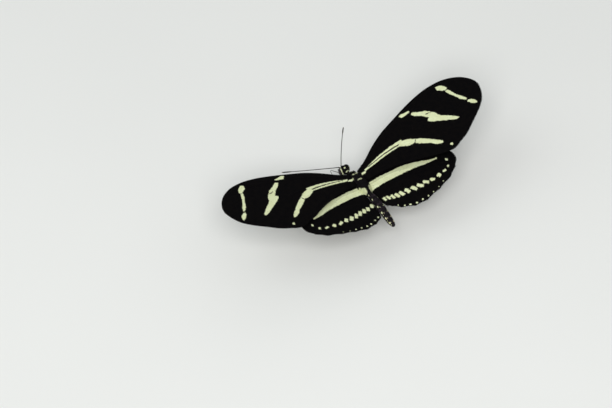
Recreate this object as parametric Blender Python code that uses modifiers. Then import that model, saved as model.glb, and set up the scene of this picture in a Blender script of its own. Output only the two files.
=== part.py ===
# A life-size zebra longwing butterfly that stands still on its four walking legs, with its wings spread.
# Sizes are in millimetres and are turned into metres where a mesh is made.
# The body's own origin is on its midline, at the middle of the thorax, level with the wing roots.
import math

import bmesh
import bpy
from mathutils import Vector
from mathutils.geometry import delaunay_2d_cdt

for old in list(bpy.data.objects):
    bpy.data.objects.remove(old, do_unlink=True)

MM = 0.001
GAP = 0.3                     # clear gap between one node and the next

# Where the body's own origin stands: the box of the whole model is centred on x = 0 and y = 0.
STAND_HEIGHT = 11.0
BODY_X = 0.197
BODY_Y = -3.176

# Thorax: places along the body, with the half width, half height and drop of the centre at each.
THORAX_STATIONS = (
    (-4.0, 1.05, 1.15, 0.65),
    (-3.2, 1.62, 1.85, 0.76),
    (-1.6, 2.05, 2.35, 0.72),
    (0.4, 2.15, 2.45, 0.70),
    (2.4, 2.05, 2.30, 0.80),
    (4.0, 1.70, 1.85, 1.05),
    (5.4, 1.22, 1.35, 1.55),
    (6.7, 0.74, 0.80, 2.25),
)

# Abdomen: eight segments on a line that arches up behind the thorax and then droops.
ABDOMEN_TIP = (0.45, -16.35, -3.05)
ABDOMEN_ARCH = 1.0
ABDOMEN_WIDTH = (
    (0.0, 1.00), (0.12, 1.16), (0.45, 1.27), (0.72, 1.20), (0.88, 0.98), (0.97, 0.62), (1.0, 0.34),
)
SEGMENTS = 8
SEGMENT_GROOVE = 0.05

# Head: it turns a little to its left on the neck.
HEAD_YAW = math.radians(10.0)
HEAD_REACH = 2.75
HEAD_STATIONS = (
    (0.0, 0.70, 0.76),
    (0.22, 1.10, 1.16),
    (0.46, 1.26, 1.34),
    (0.70, 1.18, 1.26),
    (0.90, 0.82, 0.86),
    (1.0, 0.38, 0.42),
)
EYE_HALF = (1.10, 1.12, 1.38)     # half width, half length and half height of an eye
EYE_CENTRE = (0.80, 1.47, -0.02)   # out, forward and up from the middle of the head's rear face
EYE_FLAT = 0.88                   # where an eye's flat back stands, out from the head's midline

PALP_LENGTH = 1.5
PALP_RADIUS = 0.30
ANTENNA_ROOT = (0.45, 3.15, 0.0)   # out, forward and up from the middle of the head's rear face
ANTENNA_VECTOR = {"left": (12.7, 10.55, -1.07), "right": (10.9, 10.6, -0.6)}
ANTENNA_CURL = {"left": -0.03, "right": 0.12}   # share of the outward reach that comes late, near the tip
ANTENNA_RADIUS = 0.25
CLUB_RADIUS = 0.40
CLUB_SHARE = 0.17
PROBOSCIS_RADIUS = 0.25

# Legs: the middle and hind pairs stand, the front pair is short and folded up under the neck.
LEG_RADIUS = {"femur": 0.38, "tibia": 0.30, "foot": 0.27}
FORELEG_RADIUS = 0.28

# Wings: the lift, turn and reach of each wing on its root, and the shared camber.
LIFT = {
    "forewing": {"left": math.radians(14.0), "right": math.radians(16.0)},
    "hindwing": {"left": math.radians(13.2), "right": math.radians(10.5)},
}
TURN = {
    "forewing": {"left": 0.0, "right": 0.0},
    "hindwing": {"left": math.radians(-1.0), "right": math.radians(1.0)},
}
STRETCH = {
    "forewing": {"left": 1.0, "right": 1.0},
    "hindwing": {"left": 1.0, "right": 1.025},
}
WING_PIVOT = {"forewing": (2.0, 2.5), "hindwing": (2.0, -2.0)}
WING_DROP = {"forewing": 0.0, "hindwing": 1.12}
CAMBER_FORE_AFT = {
    "forewing": {"left": 0.0022, "right": 0.0022},
    "hindwing": {"left": -0.0010, "right": 0.0055},
}
CAMBER_SPAN = 0.0006
MEMBRANE = 0.50
VEIN_THICKNESS = 0.80
VEIN_HALF_WIDTH = 0.42
EDGE_STEP = 1.35
VEIN_STEP = 1.7
INNER_STEP = 4.2

# Wing edges: landmarks (out, forward) from the front of the root round to the back of the root.
FOREWING_ROOT = (4.3, 1.2)
FOREWING_EDGE = (
    (4.8, 5.6), (9.3, 8.1), (13.6, 9.95), (18.2, 11.2), (24.5, 12.7), (29.0, 13.4), (33.0, 13.5),
    (37.3, 12.7), (40.8, 10.9), (43.2, 8.5), (44.6, 5.5), (44.0, 2.3), (42.5, -0.4), (39.9, -2.65),
    (36.3, -4.85), (32.9, -6.85), (30.1, -7.8), (26.6, -8.6), (21.5, -6.6), (15.0, -3.6), (8.0, -1.0),
)
HINDWING_ROOT = (0.4, -3.3)
HINDWING_EDGE = (
    (3.4, 1.9), (6.6, 2.4), (10.2, 2.0), (14.0, 0.6), (19.0, -1.4), (24.3, -4.9), (26.1, -7.3),
    (25.8, -9.9), (24.3, -11.6), (21.4, -13.4), (17.0, -14.6),
)
# The rest of the hindwing's edge, round its inner corner, which differs a little from side to side.
HINDWING_CORNER = {
    "left": ((12.8, -15.45), (9.0, -15.9), (5.3, -15.05), (2.7, -13.5), (1.75, -10.8)),
    "right": ((12.2, -15.3), (8.6, -14.75), (5.2, -12.8), (3.1, -10.7), (1.85, -8.5)),
}
# The hindwing's outer edge dips a little between the vein ends, which are these landmarks of its edge.
SCALLOP_DEPTH = 0.3
SCALLOP_LANDMARKS = slice(7, 15)

# Veins: each runs from the root through landmarks to its end near the edge.
FOREWING_VEINS = (
    ((2.9, 3.8), (10.0, 7.4), (18.0, 10.3), (24.5, 12.0)),
    ((2.9, 3.3), (10.0, 6.6), (16.5, 8.6), (20.8, 9.1), (30.5, 12.9)),
    ((20.8, 9.1), (28.0, 10.8), (35.0, 12.5)),
    ((28.0, 10.8), (35.0, 11.0), (39.4, 11.0)),
    ((28.0, 10.8), (36.0, 9.3), (42.3, 8.6)),
    ((33.5, 9.8), (38.5, 7.4), (43.8, 5.2)),
    ((20.8, 9.1), (22.4, 7.6), (22.2, 5.7), (20.8, 3.9)),
    ((22.4, 7.6), (32.0, 5.8), (43.4, 2.3)),
    ((22.2, 5.7), (31.0, 3.0), (41.6, -1.3)),
    ((2.9, 2.6), (7.6, 3.3), (12.0, 3.6), (15.6, 3.4), (20.8, 3.9), (29.5, 1.0), (38.4, -3.6)),
    ((18.2, 3.7), (25.5, -0.2), (34.4, -6.0)),
    ((13.2, 3.5), (19.5, 0.1), (25.5, -4.3), (29.8, -7.8)),
    ((2.9, 1.6), (9.0, 0.6), (17.0, -2.9), (26.2, -8.1)),
)
HINDWING_VEINS = (
    ((2.9, -1.0), (8.0, 0.4), (16.0, -0.9), (22.5, -4.4), (25.4, -7.2)),
    ((2.9, -1.5), (8.5, -2.0), (14.0, -4.2), (20.5, -7.2), (25.2, -9.7)),
    ((14.0, -4.2), (17.2, -7.9), (19.4, -10.8), (21.2, -13.0)),
    ((14.0, -4.2), (13.9, -5.6), (15.0, -10.7), (16.7, -14.4)),
    ((13.9, -5.6), (11.6, -6.6), (11.0, -10.3), (12.2, -14.8)),
    ((2.9, -2.1), (7.0, -3.9), (11.6, -6.6)),
)
HINDWING_CORNER_VEINS = {
    "left": (
        ((9.8, -5.5), (8.4, -10.0), (8.5, -15.2)),
        ((7.0, -3.9), (5.2, -9.5), (5.1, -14.3)),
        ((2.9, -2.7), (3.2, -6.0), (3.0, -9.5), (2.9, -12.7)),
    ),
    "right": (
        ((9.8, -5.5), (8.1, -9.7), (8.3, -14.1)),
        ((7.0, -3.9), (5.1, -8.4), (5.1, -12.1)),
        ((2.9, -2.7), (3.2, -6.0), (3.1, -8.2), (3.0, -9.9)),
    ),
}

COLORS = {
    "head": (0.02, 0.018, 0.016, 1.0),
    "eye": (0.05, 0.028, 0.02, 1.0),
    "palp": (0.05, 0.045, 0.03, 1.0),
    "proboscis": (0.03, 0.025, 0.02, 1.0),
    "antenna": (0.015, 0.013, 0.012, 1.0),
    "thorax": (0.02, 0.018, 0.016, 1.0),
    "abdomen": (0.035, 0.028, 0.035, 1.0),
    "forewing": (0.012, 0.011, 0.01, 1.0),
    "hindwing": (0.012, 0.011, 0.01, 1.0),
    "leg": (0.02, 0.017, 0.014, 1.0),
}

model = bpy.data.collections.new("butterfly")
bpy.context.scene.collection.children.link(model)
cutters = bpy.data.collections.new("cutters")
bpy.context.scene.collection.children.link(cutters)


def place(point):
    """Body point in millimetres to a point of the part in metres."""
    return Vector((point[0] + BODY_X, point[1] + BODY_Y, point[2] + STAND_HEIGHT)) * MM


def smooth_table(table, t):
    """Reading of a table of (t, values...) rows along a smooth curve through them."""
    rows = [Vector(row[1:] + (0.0,) * (4 - len(row))) for row in table]
    keys = [row[0] for row in table]
    t = min(max(t, keys[0]), keys[-1])
    i = max(k for k in range(len(keys) - 1) if keys[k] <= t)
    width = keys[i + 1] - keys[i]
    s = (t - keys[i]) / width

    def slope(k):
        a, b = max(k - 1, 0), min(k + 1, len(keys) - 1)
        return (rows[b] - rows[a]) / (keys[b] - keys[a])

    h00, h10 = 2 * s**3 - 3 * s**2 + 1, s**3 - 2 * s**2 + s
    h01, h11 = -2 * s**3 + 3 * s**2, s**3 - s**2
    return h00 * rows[i] + h10 * width * slope(i) + h01 * rows[i + 1] + h11 * width * slope(i + 1)


def curve_through(points, step):
    """Points about one step apart on a smooth curve through the landmarks."""
    pts = [Vector(p) for p in points]
    out = [pts[0]]
    for i in range(len(pts) - 1):
        p0 = pts[max(i - 1, 0)]
        p1, p2 = pts[i], pts[i + 1]
        p3 = pts[min(i + 2, len(pts) - 1)]
        count = max(1, round((p2 - p1).length / step))
        for k in range(1, count + 1):
            s = k / count
            a = 2 * p1 + (p2 - p0) * s + (2 * p0 - 5 * p1 + 4 * p2 - p3) * s * s
            out.append(0.5 * (a + (3 * p1 - p0 - 3 * p2 + p3) * s**3))
    return out


def add_object(name, mesh, color, collection=None):
    """New object with its own material."""
    obj = bpy.data.objects.new(name, mesh)
    (collection or model).objects.link(obj)
    material = bpy.data.materials.new(name)
    material.use_nodes = True
    shader = material.node_tree.nodes["Principled BSDF"]
    shader.inputs["Base Color"].default_value = COLORS[color]
    shader.inputs["Roughness"].default_value = 0.6
    mesh.materials.append(material)
    return obj


def shade_smooth(mesh):
    for polygon in mesh.polygons:
        polygon.use_smooth = True


def mesh_from_rings(name, rings):
    """Closed skin over rings of equal count, with a flat cap at both ends."""
    bm = bmesh.new()
    rows = [[bm.verts.new(p) for p in ring] for ring in rings]
    count = len(rows[0])
    for low, high in zip(rows, rows[1:]):
        for k in range(count):
            bm.faces.new((low[k], low[(k + 1) % count], high[(k + 1) % count], high[k]))
    bm.faces.new(reversed(rows[0]))
    bm.faces.new(rows[-1])
    bmesh.ops.recalc_face_normals(bm, faces=bm.faces)
    for vert in bm.verts:
        vert.co = place(vert.co)
    mesh = bpy.data.meshes.new(name)
    bm.to_mesh(mesh)
    bm.free()
    shade_smooth(mesh)
    return mesh


def rod(name, path, radii, color):
    """Round rod along body points, with its own radius at each, made from a bevelled curve."""
    curve = bpy.data.curves.new(name, "CURVE")
    curve.dimensions = "3D"
    curve.bevel_depth = MM
    curve.bevel_resolution = 2
    curve.use_fill_caps = True
    spline = curve.splines.new("POLY")
    spline.points.add(len(path) - 1)
    for point, where, radius in zip(spline.points, path, radii):
        point.co = place(where).to_4d()
        point.radius = radius
    holder = bpy.data.objects.new(name + "_curve", curve)
    cutters.objects.link(holder)
    depsgraph = bpy.context.evaluated_depsgraph_get()
    mesh = bpy.data.meshes.new_from_object(holder.evaluated_get(depsgraph))
    mesh.name = name
    bpy.data.objects.remove(holder, do_unlink=True)
    weld(mesh)
    shade_smooth(mesh)
    return add_object(name, mesh, color)


def weld(mesh):
    """Join the caps to the sides, and turn every face outwards."""
    bm = bmesh.new()
    bm.from_mesh(mesh)
    bmesh.ops.scale(bm, vec=(1.0 / MM, 1.0 / MM, 1.0 / MM), verts=bm.verts)
    bmesh.ops.remove_doubles(bm, verts=bm.verts, dist=0.002)
    bmesh.ops.recalc_face_normals(bm, faces=bm.faces)
    bmesh.ops.scale(bm, vec=(MM, MM, MM), verts=bm.verts)
    bm.to_mesh(mesh)
    bm.free()


def thorax_section(y):
    """Half width, half height and centre height of the thorax at a place along the body."""
    half_width, half_height, drop = smooth_table(THORAX_STATIONS, y)
    return half_width, half_height, -drop


def thorax_side(y, z):
    """Distance from the midline to the thorax's side at a height."""
    half_width, half_height, centre = thorax_section(y)
    rise = min(abs(z - centre) / half_height, 0.98)
    return half_width * math.sqrt(1.0 - rise * rise)


def build_thorax():
    first, last = THORAX_STATIONS[0][0], THORAX_STATIONS[-1][0]
    rings = []
    for i in range(19):
        y = first + (last - first) * i / 18
        half_width, half_height, centre = thorax_section(y)
        ring = []
        for k in range(20):
            angle = 2 * math.pi * k / 20
            ring.append((half_width * math.cos(angle), y, centre + half_height * math.sin(angle)))
        rings.append(ring)
    add_object("thorax", mesh_from_rings("thorax", rings), "thorax")


def abdomen_frame(t):
    """Centre of the abdomen at a share of its length, and its radius there."""
    y0 = THORAX_STATIONS[0][0] - GAP
    z0 = -THORAX_STATIONS[0][3]
    start = Vector((0.0, y0, z0))
    centre = start.lerp(Vector(ABDOMEN_TIP), t)
    centre.z += ABDOMEN_ARCH * math.sin(math.pi * t) * 1.5 * (1.0 - t)
    centre.x *= t
    radius = smooth_table(ABDOMEN_WIDTH, t)[0]
    groove = abs(math.sin(math.pi * SEGMENTS * t)) ** 0.5
    return centre, radius - SEGMENT_GROOVE * (1.0 - groove)


def build_abdomen():
    rings = []
    total = SEGMENTS * 4
    for i in range(total + 1):
        t = i / total
        centre, radius = abdomen_frame(t)
        ahead = abdomen_frame(min(t + 0.02, 1.0))[0] - abdomen_frame(max(t - 0.02, 0.0))[0]
        tilt = math.atan2(-ahead.z, -ahead.y) * min(t * 4, 1.0)
        ring = []
        for k in range(18):
            angle = 2 * math.pi * k / 18
            up = radius * math.sin(angle)
            side = radius * 0.96 * math.cos(angle)
            ring.append((centre.x + side, centre.y - up * math.sin(tilt), centre.z + up * math.cos(tilt)))
        rings.append(ring)
    add_object("abdomen", mesh_from_rings("abdomen", rings), "abdomen")


def head_point(out, ahead, up):
    """Point in the head's own frame, which starts at the middle of its rear face, in body millimetres."""
    neck_y = THORAX_STATIONS[-1][0]
    neck_z = -THORAX_STATIONS[-1][3]
    cos_yaw, sin_yaw = math.cos(HEAD_YAW), math.sin(HEAD_YAW)
    ahead = ahead + GAP + THORAX_STATIONS[-1][1] * sin_yaw
    return Vector((out * cos_yaw - ahead * sin_yaw, neck_y + ahead * cos_yaw + out * sin_yaw, neck_z + up))


def head_half(ahead):
    """Half width and half height of the head at a distance forward of its rear face."""
    values = smooth_table(HEAD_STATIONS, ahead / HEAD_REACH)
    return values[0], values[1]


def ellipsoid(name, centre, half, flat_at, side, collection):
    """Ellipsoid in the head's frame, cut off flat on the side towards the head's midline."""
    bm = bmesh.new()
    bmesh.ops.create_uvsphere(bm, u_segments=24, v_segments=16, radius=1.0)
    for vert in bm.verts:
        x, y, z = vert.co.z, vert.co.y, -vert.co.x
        vert.co = (centre[0] + x * half[0], centre[1] + y * half[1], centre[2] + z * half[2])
    geometry = list(bm.verts) + list(bm.edges) + list(bm.faces)
    bmesh.ops.bisect_plane(
        bm, geom=geometry, dist=1e-4, plane_co=(flat_at, 0, 0), plane_no=(-1, 0, 0), clear_outer=True
    )
    rim = [edge for edge in bm.edges if edge.is_boundary]
    bmesh.ops.holes_fill(bm, edges=rim, sides=0)
    bmesh.ops.recalc_face_normals(bm, faces=bm.faces)
    for vert in bm.verts:
        vert.co = place(head_point(side * vert.co.x, vert.co.y, vert.co.z))
    if side < 0:
        bmesh.ops.reverse_faces(bm, faces=bm.faces)
    mesh = bpy.data.meshes.new(name)
    bm.to_mesh(mesh)
    bm.free()
    shade_smooth(mesh)
    return add_object(name, mesh, "eye", collection)


def cut(target, cutter):
    """Take the cutter's shape out of the target, and remove the cutter."""
    boolean = target.modifiers.new("cut", "BOOLEAN")
    boolean.operation = "DIFFERENCE"
    boolean.solver = "EXACT"
    boolean.object = cutter
    cutter.hide_render = True
    cutter.display_type = "WIRE"
    bpy.context.view_layer.objects.active = target
    with bpy.context.temp_override(object=target, active_object=target):
        bpy.ops.object.modifier_apply(modifier=boolean.name)
    bpy.data.objects.remove(cutter, do_unlink=True)


def build_head():
    rings = []
    for i in range(15):
        t = i / 14
        ahead = HEAD_REACH * t
        half_width, half_height = head_half(ahead)
        ring = []
        for k in range(24):
            angle = 2 * math.pi * k / 24
            ring.append(head_point(half_width * math.cos(angle), ahead, half_height * math.sin(angle)))
        rings.append(ring)
    head = add_object("head", mesh_from_rings("head", rings), "head")
    socket_half = [value + GAP for value in EYE_HALF]
    for side, word in ((-1, "left"), (1, "right")):
        cut(head, ellipsoid("socket", EYE_CENTRE, socket_half, EYE_FLAT - GAP, side, cutters))
        ellipsoid("eye_" + word, EYE_CENTRE, EYE_HALF, EYE_FLAT, side, model)


def build_mouthparts():
    for side, word in ((-1, "left"), (1, "right")):
        ahead = 2.35
        start = (side * 0.55, ahead, -head_half(ahead)[1] - GAP - 0.14)
        path, radii = [], []
        for i in range(9):
            t = i / 8
            reach = PALP_LENGTH * t
            ahead_now = start[1] + reach * (0.55 + 0.12 * t)
            path.append(head_point(start[0], ahead_now, start[2] + reach * (0.62 * t - 0.32)))
            swell = 0.80 + 0.30 * math.sin(math.pi * min(t * 1.1, 1.0))
            radii.append(PALP_RADIUS * swell * (1.0 - 0.42 * t**3))
        rod("palp_" + word, path, radii, "palp")
    # The tongue hangs from under the face, bends at a knee and hooks back at its tip.
    low = head_half(1.9)[1]
    landmarks = [
        (0.0, 1.90, -low - GAP - 0.06), (0.0, 2.2, -2.1), (0.0, 5.1, -3.85),
        (0.0, 6.8, -4.85), (0.0, 7.0, -5.5), (0.0, 6.3, -6.5),
    ]
    path = curve_through([head_point(*p) for p in landmarks], 0.45)
    radii = [PROBOSCIS_RADIUS * (1.0 - 0.2 * (i / (len(path) - 1)) ** 3) for i in range(len(path))]
    rod("proboscis", path, radii, "proboscis")


def build_antennae():
    for side, word in ((-1, "left"), (1, "right")):
        start, reach, curl = Vector(ANTENNA_ROOT), Vector(ANTENNA_VECTOR[word]), ANTENNA_CURL[word]
        path, radii = [], []
        for i in range(27):
            t = i / 26
            span = start + reach * t
            span.x -= reach.x * curl * t * (1.0 - t)
            path.append(head_point(side * span.x, span.y, span.z))
            club = max(0.0, (t - 1.0 + CLUB_SHARE) / CLUB_SHARE)
            swell = math.sin(math.pi * club**0.8 * 0.86)
            radii.append(ANTENNA_RADIUS + (CLUB_RADIUS - ANTENNA_RADIUS) * max(swell, 0.0))
        radii[-1] = ANTENNA_RADIUS * 0.8
        rod("antenna_" + word, path, radii, "antenna")


def thorax_foot(y, angle):
    """Point a gap clear of the thorax's skin, and the way out of it there."""
    half_width, half_height, centre = thorax_section(y)
    point = Vector((half_width * math.sin(angle), y, centre - half_height * math.cos(angle)))
    way = Vector((math.sin(angle) / half_width, 0.0, -math.cos(angle) / half_height)).normalized()
    return point + way * (GAP + 0.12), way


def build_walking_leg(name, side, root, knee, ankle, toe):
    """Hip at the thorax, knee out to the side, shin down to the floor, and a foot lying flat on it."""
    start, way = thorax_foot(*root)
    hip = start + way * 0.9
    floor = -STAND_HEIGHT
    foot_line = floor + LEG_RADIUS["foot"] * math.cos(math.pi / 8)
    sole = Vector((ankle[0], ankle[1], foot_line))
    end = Vector((toe[0], toe[1], foot_line))
    joint = Vector(knee)
    shin_end = sole + (joint - sole).normalized() * 0.8
    foot_start = sole + (end - sole).normalized() * 0.6
    stations = [
        (start, 0.42), (hip, 0.42), (hip.lerp(joint, 0.15), LEG_RADIUS["femur"]),
        (hip.lerp(joint, 0.85), LEG_RADIUS["femur"]), (joint, 0.31),
        (joint.lerp(shin_end, 0.12), LEG_RADIUS["tibia"]), (shin_end, LEG_RADIUS["tibia"]),
        (sole.lerp(shin_end.lerp(foot_start, 0.5), 0.4), LEG_RADIUS["foot"]),
        (foot_start, LEG_RADIUS["foot"]), (foot_start.lerp(end, 0.5), LEG_RADIUS["foot"]),
        (end, LEG_RADIUS["foot"]),
    ]
    path = [Vector((side * point.x, point.y, point.z)) for point, radius in stations]
    leg = rod(name, path, [radius for point, radius in stations], "leg")
    for vert in leg.data.vertices:
        vert.co.z = max(vert.co.z, 0.0)
    return leg


def build_legs():
    for side, word in ((-1, "left"), (1, "right")):
        build_walking_leg("midleg_" + word, side, (0.9, 0.42), (5.6, 4.2, -4.9), (7.4, 6.0), (9.2, 9.6))
        build_walking_leg("hindleg_" + word, side, (-1.6, 0.42), (5.5, -2.4, -4.7), (6.9, -1.2), (9.3, -4.1))
        start, way = thorax_foot(4.3, 0.5)
        landmarks = [start, start + way * 0.8, (1.75, 5.6, -4.3), (1.3, 7.0, -4.75), (0.9, 5.9, -5.0)]
        path = [Vector((side * p[0], p[1], p[2])) for p in curve_through(landmarks, 0.5)]
        rod("foreleg_" + word, path, [FORELEG_RADIUS] * len(path), "leg")


def wing_point(kind, side_word, out, forward):
    """Body point on a wing's middle surface, for a point of the wing's own flat plan."""
    pivot = WING_PIVOT[kind]
    lift, turn = LIFT[kind][side_word], TURN[kind][side_word]
    across = (out - pivot[0]) * STRETCH[kind][side_word]
    along = forward - pivot[1]
    reach = pivot[0] + across * math.cos(turn) - along * math.sin(turn)
    ahead = pivot[1] + across * math.sin(turn) + along * math.cos(turn)
    fore_aft = CAMBER_FORE_AFT[kind][side_word]
    camber = -fore_aft * (ahead - 2.0) ** 2 - CAMBER_SPAN * ((reach - 20.0) ** 2 - 400.0)
    side = -1 if side_word == "left" else 1
    return Vector((side * reach * math.cos(lift), ahead, reach * math.sin(lift) + camber - WING_DROP[kind]))


def wing_outline(kind, side_word):
    """Closed outline of a wing in its own plan: the root follows the thorax's side, one gap clear of it."""
    front, back = FOREWING_ROOT if kind == "forewing" else HINDWING_ROOT
    edge = FOREWING_EDGE if kind == "forewing" else HINDWING_EDGE + HINDWING_CORNER[side_word]
    root = []
    for i in range(4):
        forward = back + (front - back) * i / 3
        out = 2.4
        for trial in range(6):
            here = wing_point(kind, side_word, out, forward)
            levels = (here.z - VEIN_THICKNESS / 2, here.z, here.z + VEIN_THICKNESS / 2)
            side = max(thorax_side(here.y, level) for level in levels)
            out += side + GAP + 0.05 - abs(here.x)
        root.append(Vector((out, forward)))
    landmarks = [root[-1]] + [Vector(p) for p in edge] + [root[0]]
    outline = curve_through(landmarks, EDGE_STEP)
    if kind == "hindwing":
        outline = scalloped(outline, edge[SCALLOP_LANDMARKS])
    return outline[:-1] + root[:-1]


def scalloped(outline, vein_ends):
    """The edge pulled in a little between the vein ends of the hindwing's outer part."""
    ends = [Vector(p) for p in vein_ends]
    centre = Vector((12.0, -6.0))
    out = []
    for point in outline:
        near = sorted((point - end).length for end in ends)[:2]
        if point.y < -9.9 and point.x > 2.6:
            dip = SCALLOP_DEPTH * math.sin(math.pi * near[0] / (near[0] + near[1]))
            point = point + (centre - point).normalized() * dip
        out.append(point)
    return out


def inside(outline, point):
    """True where a point lies inside the closed outline."""
    hit = False
    for a, b in zip(outline, outline[1:] + outline[:1]):
        if (a.y > point.y) != (b.y > point.y):
            if point.x < (b.x - a.x) * (point.y - a.y) / (b.y - a.y) + a.x:
                hit = not hit
    return hit


def segment_distance(point, a, b):
    along = b - a
    share = min(max((point - a).dot(along) / along.length_squared, 0.0), 1.0)
    return (point - a - along * share).length


def line_distance(point, line):
    return min(segment_distance(point, a, b) for a, b in zip(line, line[1:]))


def offset_line(line, distance):
    out = []
    for i, point in enumerate(line):
        along = (line[min(i + 1, len(line) - 1)] - line[max(i - 1, 0)]).normalized()
        out.append(point + Vector((-along.y, along.x)) * distance)
    return out


def wing_triangles(outline, veins):
    """Flat triangles of a wing, with edges along every vein and along both of its flanks."""
    points = list(outline)
    edges = [(i, (i + 1) % len(outline)) for i in range(len(outline))]
    ring = outline + outline[:1]
    lines = []
    for vein in veins:
        lines += [vein, offset_line(vein, VEIN_HALF_WIDTH), offset_line(vein, -VEIN_HALF_WIDTH)]
    for line in lines:
        last = None
        for point in line:
            clear = inside(outline, point) and line_distance(point, ring) > 0.35
            if not clear:
                last = None
                continue
            points.append(point)
            if last is not None:
                edges.append((last, len(points) - 1))
            last = len(points) - 1
    reach = max(p.x for p in outline)
    low, high = min(p.y for p in outline), max(p.y for p in outline)
    for i in range(int(reach / INNER_STEP) + 1):
        for k in range(int((high - low) / INNER_STEP) + 1):
            point = Vector(((i + 0.5 * (k % 2)) * INNER_STEP, low + (k + 0.5) * INNER_STEP))
            if inside(outline, point) and min(line_distance(point, line) for line in lines + [ring]) > 1.1:
                points.append(point)
    verts, made_edges, faces, *rest = delaunay_2d_cdt(points, edges, [], 0, 1e-3)
    kept = []
    for face in faces:
        centre = sum((verts[i] for i in face), Vector((0.0, 0.0))) / 3
        if inside(outline, centre):
            kept.append(face)
    return verts, kept


def build_wing(kind, side, side_word):
    """Thin slab with raised veins on both faces: a flat triangulation, cambered and made solid."""
    name = kind + "_" + side_word
    outline = wing_outline(kind, side_word)
    veins = FOREWING_VEINS if kind == "forewing" else HINDWING_VEINS + HINDWING_CORNER_VEINS[side_word]
    vein_lines = [curve_through(vein, VEIN_STEP) for vein in veins]
    verts, faces = wing_triangles(outline, vein_lines)
    front_edge = outline[: len(outline) * 2 // 5] if kind == "forewing" else outline[:2]
    used = sorted({i for face in faces for i in face})
    number = {old: new for new, old in enumerate(used)}
    mesh = bpy.data.meshes.new(name)
    places = [place(wing_point(kind, side_word, verts[i].x, verts[i].y)) for i in used]
    winding = 1 if side > 0 else -1
    mesh.from_pydata(places, [], [[number[i] for i in face][::winding] for face in faces])
    obj = add_object(name, mesh, kind)
    ridge = obj.vertex_groups.new(name="ridge")
    for i in used:
        point = verts[i]
        near = min(line_distance(point, line) for line in vein_lines)
        weight = max(0.0, 1.0 - near / VEIN_HALF_WIDTH) * (1.0 - 0.4 * point.x / 45.0)
        if line_distance(point, front_edge) < 0.05:
            weight = max(weight, 0.6)
        ridge.add([number[i]], min(weight, 1.0), "REPLACE")
    solid = obj.modifiers.new("thickness", "SOLIDIFY")
    solid.thickness = VEIN_THICKNESS * MM
    solid.offset = 0.0
    solid.vertex_group = "ridge"
    solid.thickness_vertex_group = MEMBRANE / VEIN_THICKNESS
    bpy.context.view_layer.objects.active = obj
    with bpy.context.temp_override(object=obj, active_object=obj):
        bpy.ops.object.modifier_apply(modifier=solid.name)
    weld(obj.data)
    return obj


build_thorax()
build_abdomen()
build_head()
build_mouthparts()
build_antennae()
build_legs()
for wing_kind in ("forewing", "hindwing"):
    build_wing(wing_kind, -1, "left")
    build_wing(wing_kind, 1, "right")
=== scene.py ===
# Looks of the standing zebra longwing butterfly: wings, coat, head, legs, floor, light and camera.
# Shapes are worked out in body millimetres (origin inside the thorax, x right, y ahead, z up)
# and are moved to the part's own metres where a mesh is made.
import math

import bpy
import numpy as np
from mathutils import Matrix, Vector


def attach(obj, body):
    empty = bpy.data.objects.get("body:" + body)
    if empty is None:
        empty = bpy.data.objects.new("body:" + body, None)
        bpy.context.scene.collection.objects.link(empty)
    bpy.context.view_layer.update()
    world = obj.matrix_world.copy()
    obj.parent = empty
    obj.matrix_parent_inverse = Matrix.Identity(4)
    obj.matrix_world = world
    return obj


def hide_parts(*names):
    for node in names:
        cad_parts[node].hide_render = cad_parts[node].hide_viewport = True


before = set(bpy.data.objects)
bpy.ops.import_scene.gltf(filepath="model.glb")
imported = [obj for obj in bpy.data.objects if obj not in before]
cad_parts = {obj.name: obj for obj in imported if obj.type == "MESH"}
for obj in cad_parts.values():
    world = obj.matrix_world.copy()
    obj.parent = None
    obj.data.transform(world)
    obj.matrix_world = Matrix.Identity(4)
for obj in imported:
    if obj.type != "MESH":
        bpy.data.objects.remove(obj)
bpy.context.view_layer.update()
print("frame loaded")

mm = 0.001
bodyOrigin = np.array((0.197, -3.176, 11.0))   # where the body's origin stands in the part

# Camera and light come first, then the materials and small tools, then the pieces.

view = {
    "azimuth": -33.2, "elevation": 50.0,    # degrees, from straight behind and from level
    "distance": 2.0, "lens": 411.8, "sensor": 36.0,
    "aimRight": -15.86, "aimUp": -5.86,     # millimetres in the picture from the body's origin to its middle
    "nearest": 0.05, "farthest": 50.0,
}
lamps = {
    "overheadLamp": {"place": (-0.36, -0.53, 0.80), "size": 0.55, "power": 6.6, "tint": (1.0, 0.99, 0.97)},
    "leftLamp": {"place": (-0.55, 0.35, 0.75), "size": 0.7, "power": 1.5, "tint": (0.95, 1.0, 0.97)},
    "frontLamp": {"place": (0.5, 0.8, 0.55), "size": 0.8, "power": 0.9, "tint": (1.0, 0.98, 0.95)},
}
sky = {"color": (0.93, 0.95, 0.95, 1.0), "strength": 0.42}


def makeCamera():
    # A long lens, the view's distance back from its aim; its axes are right, up and back of the picture.
    turn, tilt = math.radians(view["azimuth"]), math.radians(view["elevation"])
    right = Vector((math.cos(turn), math.sin(turn), 0.0))
    back = Vector((math.sin(turn) * math.cos(tilt), -math.cos(turn) * math.cos(tilt), math.sin(tilt)))
    up = back.cross(right)
    aim = (Vector(bodyOrigin) + right * view["aimRight"] + up * view["aimUp"]) * mm
    data = bpy.data.cameras.new("photoCamera")
    data.lens = view["lens"]
    data.sensor_width = view["sensor"]
    data.clip_start = view["nearest"]
    data.clip_end = view["farthest"]
    camera = bpy.data.objects.new("photoCamera", data)
    bpy.context.scene.collection.objects.link(camera)
    axes = Matrix((right, up, back)).transposed().to_4x4()
    camera.matrix_world = Matrix.Translation(aim + back * view["distance"]) @ axes
    bpy.context.scene.camera = camera


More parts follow.
